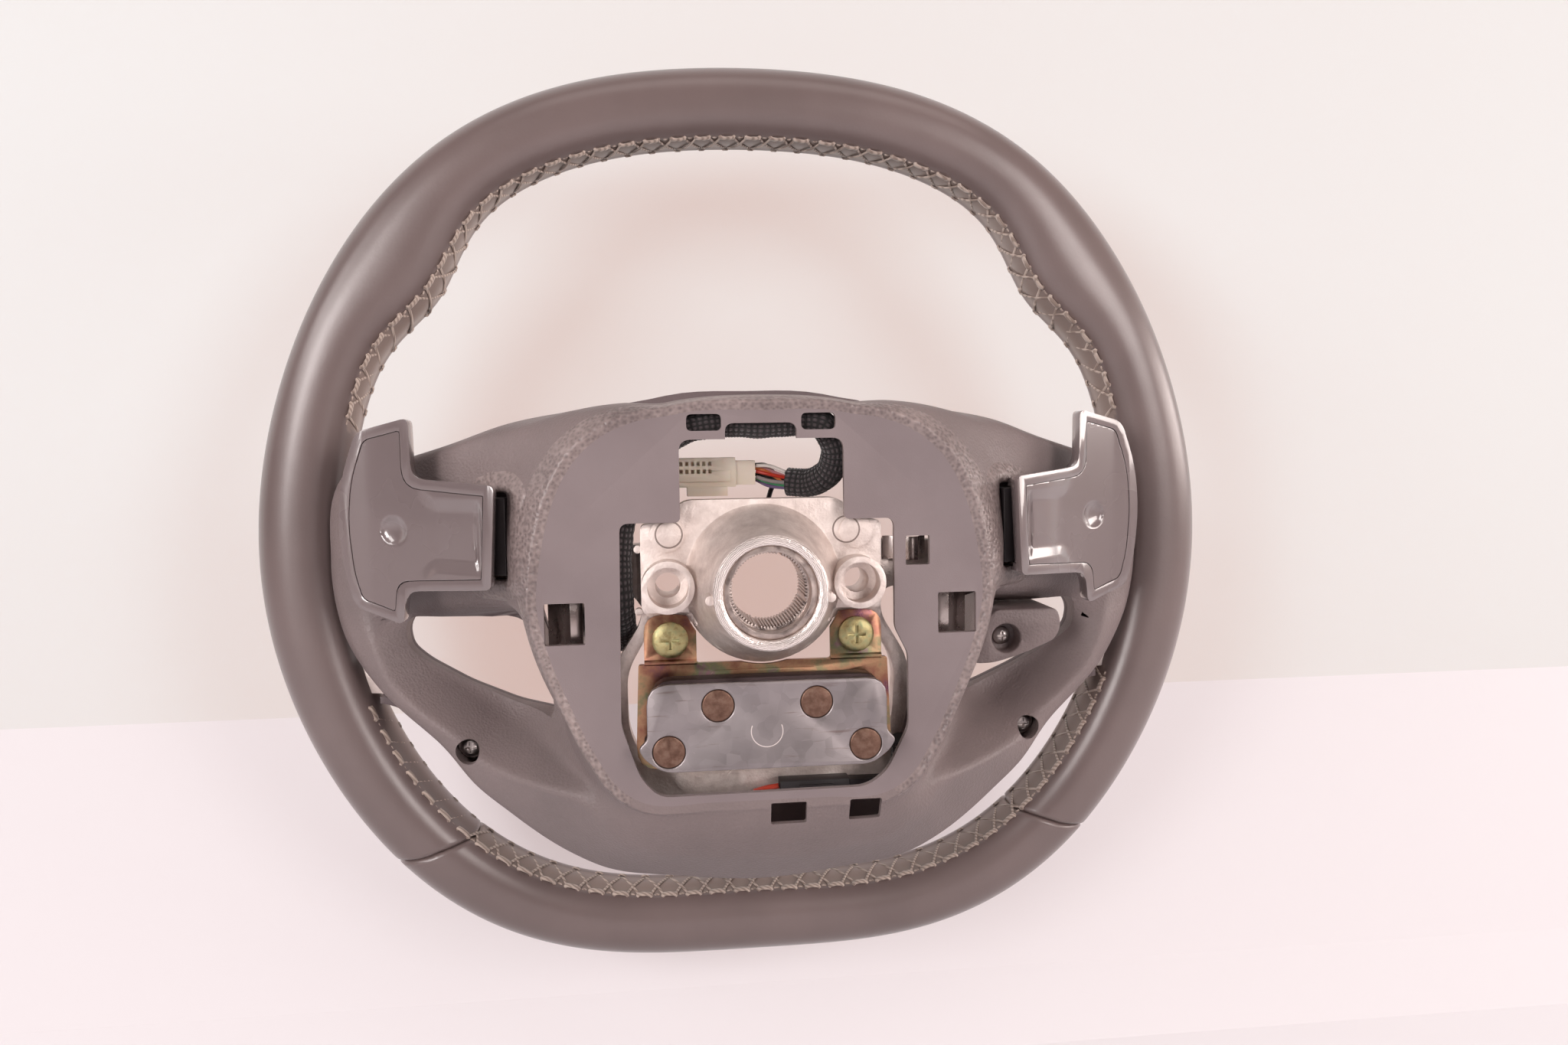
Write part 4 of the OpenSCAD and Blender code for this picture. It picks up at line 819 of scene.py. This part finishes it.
def softened(profile, setbacks, n=5):
    """Open line with its inner corners eased."""
    p = [Vector(q) for q in profile]
    line = [p[0]]
    for b, before, after, e in zip(p[1:-1], p, p[2:], setbacks):
        line += corner(b, before, after, e, n)
    return [tuple(q) for q in line + [p[-1]]]


def grown(corners, t):
    """Clockwise outline moved outwards."""
    out = []
    for i, (x, z, e) in enumerate(corners):
        q, s = corners[i - 1], corners[(i + 1) % len(corners)]
        u, v = Vector((x - q[0], z - q[1])), Vector((s[0] - x, s[1] - z))
        m, n = Vector((-u.y, u.x)).normalized(), Vector((-v.y, v.x)).normalized()
        b = Vector((x, z)) + t * (m + n) / (1 + m.dot(n))
        out.append((b.x, b.y, max(0.5, e + t * (1 if v.cross(u) > 0 else -1) * 0.5)))
    return out


def build_cover():
    bands = []
    for s in range(COVER_STEPS):
        a = 360 * s / COVER_STEPS
        line = softened(cover_profile(a), COVER_EASING)
        bands.append([(r * sin(radians(a)), y, r * cos(radians(a))) for r, y in line])
    rings = [[band[k] for band in bands] for k in range(len(bands[0]))]
    points, faces = rings_mesh(rings)
    # the coarse grain runs round the plate and ends beside its lower corners
    indices = [2 if from_top(360 * s / COVER_STEPS) < 148 else 0 for s in range(COVER_STEPS)] * 12
    indices += [0] * (len(faces) - 2 - len(indices)) + [1, 0]
    finishes = [FINISH[name] for name in ("cover_plastic", "cover_plate", "cover_bead")]
    cover = made_mesh("moulded_cover", points, faces, finishes, indices)
    outward(cover)
    hollow_rings = []
    for s in range(HOLLOW_STEPS):
        a = 360 * s / HOLLOW_STEPS
        p = [Vector(q) for q in cover_profile(a)]
        q = []
        wall = WALL + 1.3 * exp(-((from_top(a) - 126) / 7) ** 2)  # the skin turns sharply there
        for k in range(8):
            d = p[min(k + 1, 7)] - p[max(k - 1, 0)]
            q.append(p[k] + wall * Vector((-d.y, d.x)).normalized())
        row = [(q[0].x, PLATE_Y + WALL)] + [(v.x, v.y) for v in q[1:]] + [(q[7].x, PART_Y + 4)]
        hollow_rings.append([(r * sin(radians(a)), y, r * cos(radians(a))) for r, y in row])
    hollow = made_mesh("hollow", *rings_mesh([[row[k] for row in hollow_rings] for k in range(9)]), [])
    outward(hollow)
    wells = eased(grown(OPENING, WALL))
    carve(hollow, [(wells, 0, PART_Y + 2), (mirrored(wells), 0, PART_Y + 2)])
    combine(cover, "DIFFERENCE", hollow)
    evaluated(cover)
    bpy.data.objects.remove(hollow)
    opening = eased(OPENING)
    tools = [(eased(WINDOW), 0, 40), (rect(-12, 11.6, 44, 53.2, 3), 0, 40.1), (rect(47.9, 56.1, 5, 14.8, 0.6), 0, 34),
             (opening, 0, PART_Y + 2), (mirrored(opening), 0, PART_Y + 2)]
    tools += [(rect(x, x + 11.4, 50.8, 56.3, 1.8), 0, 40) for x in (-24.6, 13.2)]
    tools += [(rect(x0, x1, -82.3, -74.3, 0.8), 0, 32) for x0, x1 in ((1.2, 13.4), (28.1, 39.1))]
    for shape, y1 in ((rect(58.9, 72, -18.4, -4.6, 0.7), 34), (round_hole(105.2, -64, 4.4), PART_Y + 2.1),
                      (rect(84.2, 101.2, 2.4, 31.4, 1.6), 70)):
        tools += [(shape, 0, y1), (mirrored(shape), 0, y1)]
    carve(cover, tools)
    rework(cover, lambda form: bmesh.ops.remove_doubles(form, verts=form.verts, dist=2e-6))
    smooth(cover, 34)
    settle(cover, "wheel", "cover_plastic", "back_cover")


# ---------------------------------------------------------------- wiring
TAPE_Y = 29.8


def build_wiring():
    route = [(-46.8, TAPE_Y + 16.2, -21), (-47.4, TAPE_Y + 10.7, -16), (-47.8, TAPE_Y + 3.7, -10),
             (-48, TAPE_Y, -3), (-48, TAPE_Y, 11), (-45, TAPE_Y, 28), (-37, TAPE_Y, 42), (-26, TAPE_Y, 51),
             (-12, TAPE_Y, 53.5), (0, TAPE_Y, 53), (12, TAPE_Y, 53.5), (21.5, TAPE_Y, 52), (26, TAPE_Y + 2, 44),
             (24, TAPE_Y + 6, 36), (18, TAPE_Y + 11, 32.6), (11, TAPE_Y + 14, 33)]
    sleeve = tube("knitted_sleeve", route, 4.9, FINISH["cloth_tape"], 28, 22,
                  lambda run, k: 1.0 + 0.02 * sin(2 * pi * run / 1.1) + 0.02 * sin(run * 0.7 + 6 * k))
    settle(sleeve, "wheel", "cloth_tape", "harness_tape")
    route = [(46.3, 37.6, -72), (48, 37.2, -68), (48.6, 36, -63.5), (48, 33.6, -57)]
    lower = tube("lower_sleeve", route, 3.35, FINISH["cloth_tape"], 20, 20,
                 lambda run, k: 1.0 + 0.02 * sin(2 * pi * run / 1.1))
    settle(lower, "wheel", "cloth_tape", "harness_lower")
    # y and z where each wire leaves the connector, a point on its way, y and z where it ends
    lanes = [(50.5, 38.6, 5, 49, 38.4, 44.6, 36.2), (54, 38, 5, 51.4, 36.8, 46.6, 34.6),
             (50.5, 36.6, 5.4, 48, 35.4, 42.6, 34.4), (54, 35.4, 5, 51.2, 34.4, 45, 33.4),
             (52, 34.2, 5, 49.2, 32.6, 43.4, 31.6), (52.2, 37.6, 5, 50.2, 35.9, 45, 32.4),
             (50.4, 34.6, 5, 47.2, 33.2, 42.4, 32.6), (53.4, 33.6, 5, 50.6, 31.4, 44.4, 30.8)]
    for k, (lane, (name, code)) in enumerate(zip(lanes, WIRE_COLOURS)):
        route = [(0.6, *lane[:2]), lane[2:5], (10.4, *lane[5:])]
        wire = tube("signal_wire_%d" % (k + 1), route, 0.68, smooth_plastic(name, code, 0.38), 10, 8)
        settle(wire, "wheel", "wire_red")
        if k == 0:
            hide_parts("signal_wires")
    route = [(0.2, 56.6, 38.6), (5, 58, 38.2), (8, 58, 34), (6, 56, 29), (4, 50, 24), (3, 44, 20)]
    ground = tube("ground_lead", route, 0.88, FINISH["wire_black"], 10, 10)
    settle(ground, "wheel", "wire_black", "ground_wire")
    lead = tube("red_lead", [(5.4, 37, -73), (1, 37.6, -73.8), (-3, 38.8, -75.2)], 0.98, FINISH["wire_red"], 10, 8)
    settle(lead, "wheel", "wire_red", "red_wire")


def build_connector():
    """Nylon connector: block, latch, rows of terminal holes on the side that faces the column."""
    piece = merged("connector_white", "nylon_connector", "nylon_white")
    left, rows = -34.6, (38.9, 36.2)
    carve(piece, [(rect(left + 2.0 * k, left + 1.1 + 2.0 * k, z, z + 1.4), 44, 49.5) for k in range(10) for z in rows])
    soften(piece, 0.2, 40)
    evaluated(piece)
    smooth(piece, 40)
    settle(piece, "wheel", "nylon_white", "connector_white")


# ---------------------------------------------------------------- paddles
PADDLE = [(86.8, 34, 2), (117.3, 36.4, 5), (117.6, 57, 3), (137.3, 52.6, 4), (143.2, 36, 8), (144.6, 20, 8),
          (143, 3, 8), (139.6, -8.4, 4), (122, -14.2, 3), (120.8, -2.4, 5), (88.8, 0.2, 2)]
PADDLE_ROWS = [(84, 21.6), (90, 24.8), (100, 32.2), (110, 40.4), (118, 46.6), (126, 51.4), (135, 55), (147, 57.6)]


def eased_step(v):
    v = min(1.0, max(0.0, v))
    return v * v * (3 - 2 * v)


def paddle_sink(x, z):
    """How deep the paddle's face lies under its plain curve: the stem's flat floor between two slopes that flare
    into the wing, a scoop across its inner end and a round thumb mark."""
    middle = 17.2
    half = 8.2 + 5.5 * eased_step((x - 108) / 11)
    slope = 4.2 + 3.0 * eased_step((x - 108) / 8)
    ends = eased_step((x - 90.8) / 1.6) * (1 - eased_step((x - 106) / 12))
    floor = 1.0 * ends * (1 - min(1.0, max(0.0, (abs(z - middle) - half) / slope)))
    eye = max(0.0, 1 - ((x - 92.9) / 1.35) ** 2 - ((z - middle) / 11.6) ** 2)
    scoop = 0.85 * sqrt(eye)
    mark = max(0.0, 1 - ((x - 124.6) ** 2 + (z - 18.5) ** 2) / 4.9 ** 2)
    thumb = 1.5 * mark ** 0.75
    waist = 0.35 * exp(-((x - 133) / 5) ** 2)
    return min(1.9, floor + scoop + thumb + waist)


def build_paddles():
    """Inset faces of the paddles, moulded in one with their channel, scoop and thumb mark."""
    xs = [89.2 + 0.55 * i for i in range(100)]
    zs = [-12.5 + 0.62 * j for j in range(110)]
    n = len(zs)
    outline = eased(grown(PADDLE, -3.65))
    for side, name in ((-1, "left"), (1, "right")):
        points, faces = [], []
        for back in (0, 1):
            for x in xs:
                y = smooth_row(PADDLE_ROWS, x, 1)
                points += [(side * x, y + (2.3 if back else 0.1 + paddle_sink(x, z)), z) for z in zs]
        m = len(xs) * n
        for i in range(len(xs) - 1):
            for j in range(n - 1):
                q = (i * n + j, i * n + j + 1, (i + 1) * n + j + 1, (i + 1) * n + j)
                faces += [q, tuple(m + v for v in reversed(q))]
        edge = [i * n for i in range(len(xs))] + [(len(xs) - 1) * n + j for j in range(1, n)]
        edge += [i * n + n - 1 for i in range(len(xs) - 2, -1, -1)] + [j for j in range(n - 2, 0, -1)]
        faces += [(a, b, b + m, a + m) for a, b in zip(edge, edge[1:] + edge[:1])]
        face = made_mesh("paddle_%s_inlay" % name, points, faces, [FINISH["paddle_plastic"]])
        outward(face)
        die = made_mesh("die", *prism(outline if side > 0 else mirrored(outline), 0, 80), [])
        outward(die)
        combine(face, "INTERSECT", die)
        soften(face, 0.22, 50)
        evaluated(face)
        bpy.data.objects.remove(die)
        smooth(face, 34)
        settle(face, "paddle_%s" % name, "paddle_plastic", "paddle_%s_face" % name)


def cover_y(x, z):
    """Depth of the cover's skin."""
    a = degrees(atan2(x, z))
    line = softened(cover_profile(a), COVER_EASING)
    r = sqrt(x * x + z * z)
    for (r0, y0), (r1, y1) in zip(line, line[1:]):
        if r0 <= r <= r1 and r1 > r0:
            return y0 + (y1 - y0) * (r - r0) / (r1 - r0)
    return line[-1][1]


def build_collars():
    """Raised, coarsely grained lip round the base of each paddle."""
    inner = rect(83.9, 101.5, 2.1, 31.7, 1.6)
    section = [(0.0, 1.6), (0.0, -0.9), (0.5, -1.5), (1.6, -1.9), (3.0, -1.8), (4.6, -1.2), (6.2, -0.35), (7.4, 0.3),
               (7.4, 1.6)]
    for side, name in ((-1, "left"), (1, "right")):
        rings = []
        count = len(inner)
        for i, (x, z) in enumerate(inner):
            u = Vector(inner[i]) - Vector(inner[i - 1])
            v = Vector(inner[(i + 1) % count]) - Vector(inner[i])
            d = (u.normalized() + v.normalized()).normalized()
            out = Vector((d.y, -d.x))
            fade = 1 - eased_step((x - 90) / 10)
            ring = []
            for w, h in section:
                px, pz = x + out.x * w, z + out.y * w
                ring.append((side * px, cover_y(px, pz) + (h * fade if h < 0 else h) + 0.5 * (1 - fade), pz))
            rings.append(ring)
        points = [p for ring in rings for p in ring]
        faces = strips(count, len(section), closed=True)
        lip = made_mesh("paddle_%s_collar" % name, points, faces, [FINISH["cover_bead"]])
        outward(lip, 50)
        settle(lip, "wheel", "cover_plastic")


# ---------------------------------------------------------------- build
build_rim()
build_lacing()
build_cover()
build_paddles()
build_collars()
build_wiring()
build_connector()
for slot, nodes in SLOT_OF.items():
    for node in nodes.split():
        dress(node, slot, EDGE_MM.get(node, USUAL_EDGE))


# ---------------------------------------------------------------- studio
def backdrop(name, code, painted_fill_code):
    """Matt white paper, cool in itself, with an even warm glow painted into it for camera and glossy rays in place of
    the room's fill: the object's shadow on it is pink from that painted glow.
    It is seen from its face alone, so that the object shows from behind it too."""
    made, tree, shader, _ = finish_named(name, Base_Color=colour(code), Roughness=0.95,
                                         Emission_Color=colour(painted_fill_code))
    # painted light: the warm glow is an even emission that only camera, glossy and transmission rays see, and it tints
    # the shadow pink
    path = add(tree, "ShaderNodeLightPath").outputs
    seen = reckon(tree, "MAXIMUM", path["Is Camera Ray"], path["Is Glossy Ray"])
    tree.links.new(reckon(tree, "MAXIMUM", seen, path["Is Transmission Ray"]), shader.inputs["Emission Strength"])
    back = add(tree, "ShaderNodeNewGeometry").outputs["Backfacing"]
    clear = add(tree, "ShaderNodeBsdfTransparent").outputs[0]
    both = add(tree, "ShaderNodeMixShader", {0: back, 1: shader.outputs[0], 2: clear})
    tree.links.new(both.outputs[0], shader.outputs[0].links[0].to_node.inputs["Surface"])
    return made


def sheet_of_paper(name, line, half, finish):
    """Paper drawn along x through a line of points in y and z."""
    points = [(x, y, z) for y, z in line for x in (-half, half)]
    piece = made_mesh(name, points, [(2 * i, 2 * i + 2, 2 * i + 3, 2 * i + 1) for i in range(len(line) - 1)], [finish])
    return piece


# The wall of paper is 75 mm behind the wheel; from a crease under the middle it slopes forward as the floor.
PAPER_HALF = 4000
wall = sheet_of_paper("wall_paper", [(190, 3000), (190, -77)], PAPER_HALF, backdrop("wall_paper", "#8fb0b8", "#c69f92"))
wall.visible_shadow = False  # the lamps behind it light the driver's side
sheet_of_paper("floor_paper", [(190, -77), (132, -190), (110, -215), (70, -228), (-4000, -240)], PAPER_HALF,
               backdrop("floor_paper", "#a6a9ad", "#bcabaa"))


LIT_PLACE = Vector((0, 0.08, 0))


def softbox(name, place, width, height, power_, code):
    """Lamp that is turned towards the middle of the wheel."""
    lamp = bpy.data.lights.new(name, "AREA")
    lamp.shape = "RECTANGLE"
    lamp.size, lamp.size_y = width, height
    lamp.energy = power_
    lamp.color = colour(code)[:3]
    holder = placed(name, lamp)
    holder.location = place
    holder.rotation_mode = "QUATERNION"
    holder.rotation_quaternion = (LIT_PLACE - Vector(place)).to_track_quat("-Z", "Z")


softbox("left_key", (-0.68, -0.80, 0.26), 0.3, 0.45, 6.8, "#fff8f6")
softbox("left_window", (-0.98, -0.50, 0.50), 0.3, 0.5, 3.2, "#fff8f6")
softbox("right_key", (0.62, -0.90, 0.30), 0.35, 0.45, 5.2, "#fff6f3")
softbox("right_window", (1.05, 0.05, 0.20), 0.24, 1.3, 8.0, "#fff3ee")
softbox("top_softbox", (0.1, -0.45, 1.1), 1.2, 0.5, 2.4, "#fff6f2")
softbox("driver_left", (-0.75, 1.0, 0.45), 0.6, 0.8, 9.0, "#fff8f6")
softbox("driver_right", (0.85, 0.85, 0.25), 0.5, 0.8, 6.0, "#fff6f3")
world = bpy.data.worlds.new("studio")
world.use_nodes = True
tree = world.node_tree
around = add(tree, "ShaderNodeTexCoord")
# the room is bright to the right and behind the wheel, and darker behind the camera
side = add(tree, "ShaderNodeVectorMath", {0: around.outputs["Generated"], 1: (0.75, 0.62, 0.23)},
           operation="DOT_PRODUCT")
part = add(tree, "ShaderNodeMapRange", {0: side.outputs["Value"], 1: -0.75, 2: 0.45})
room = tree.nodes["Background"]
tree.links.new(spread(tree, part.outputs[0], [(0.0, "#8a7d7c"), (0.45, "#9c8a88"), (0.8, "#f0d8cf")]), room.inputs[0])
room.inputs[1].default_value = 0.38
white = add(tree, "ShaderNodeBackground", {"Color": colour("#f6eeeb"), "Strength": 1.0})
path = add(tree, "ShaderNodeLightPath")
shown = add(tree, "ShaderNodeMixShader", {0: path.outputs["Is Camera Ray"], 1: room.outputs[0], 2: white.outputs[0]})
tree.links.new(shown.outputs[0], tree.nodes["World Output"].inputs[0])
bpy.context.scene.world = world
bpy.context.scene.view_settings.view_transform = "Standard"
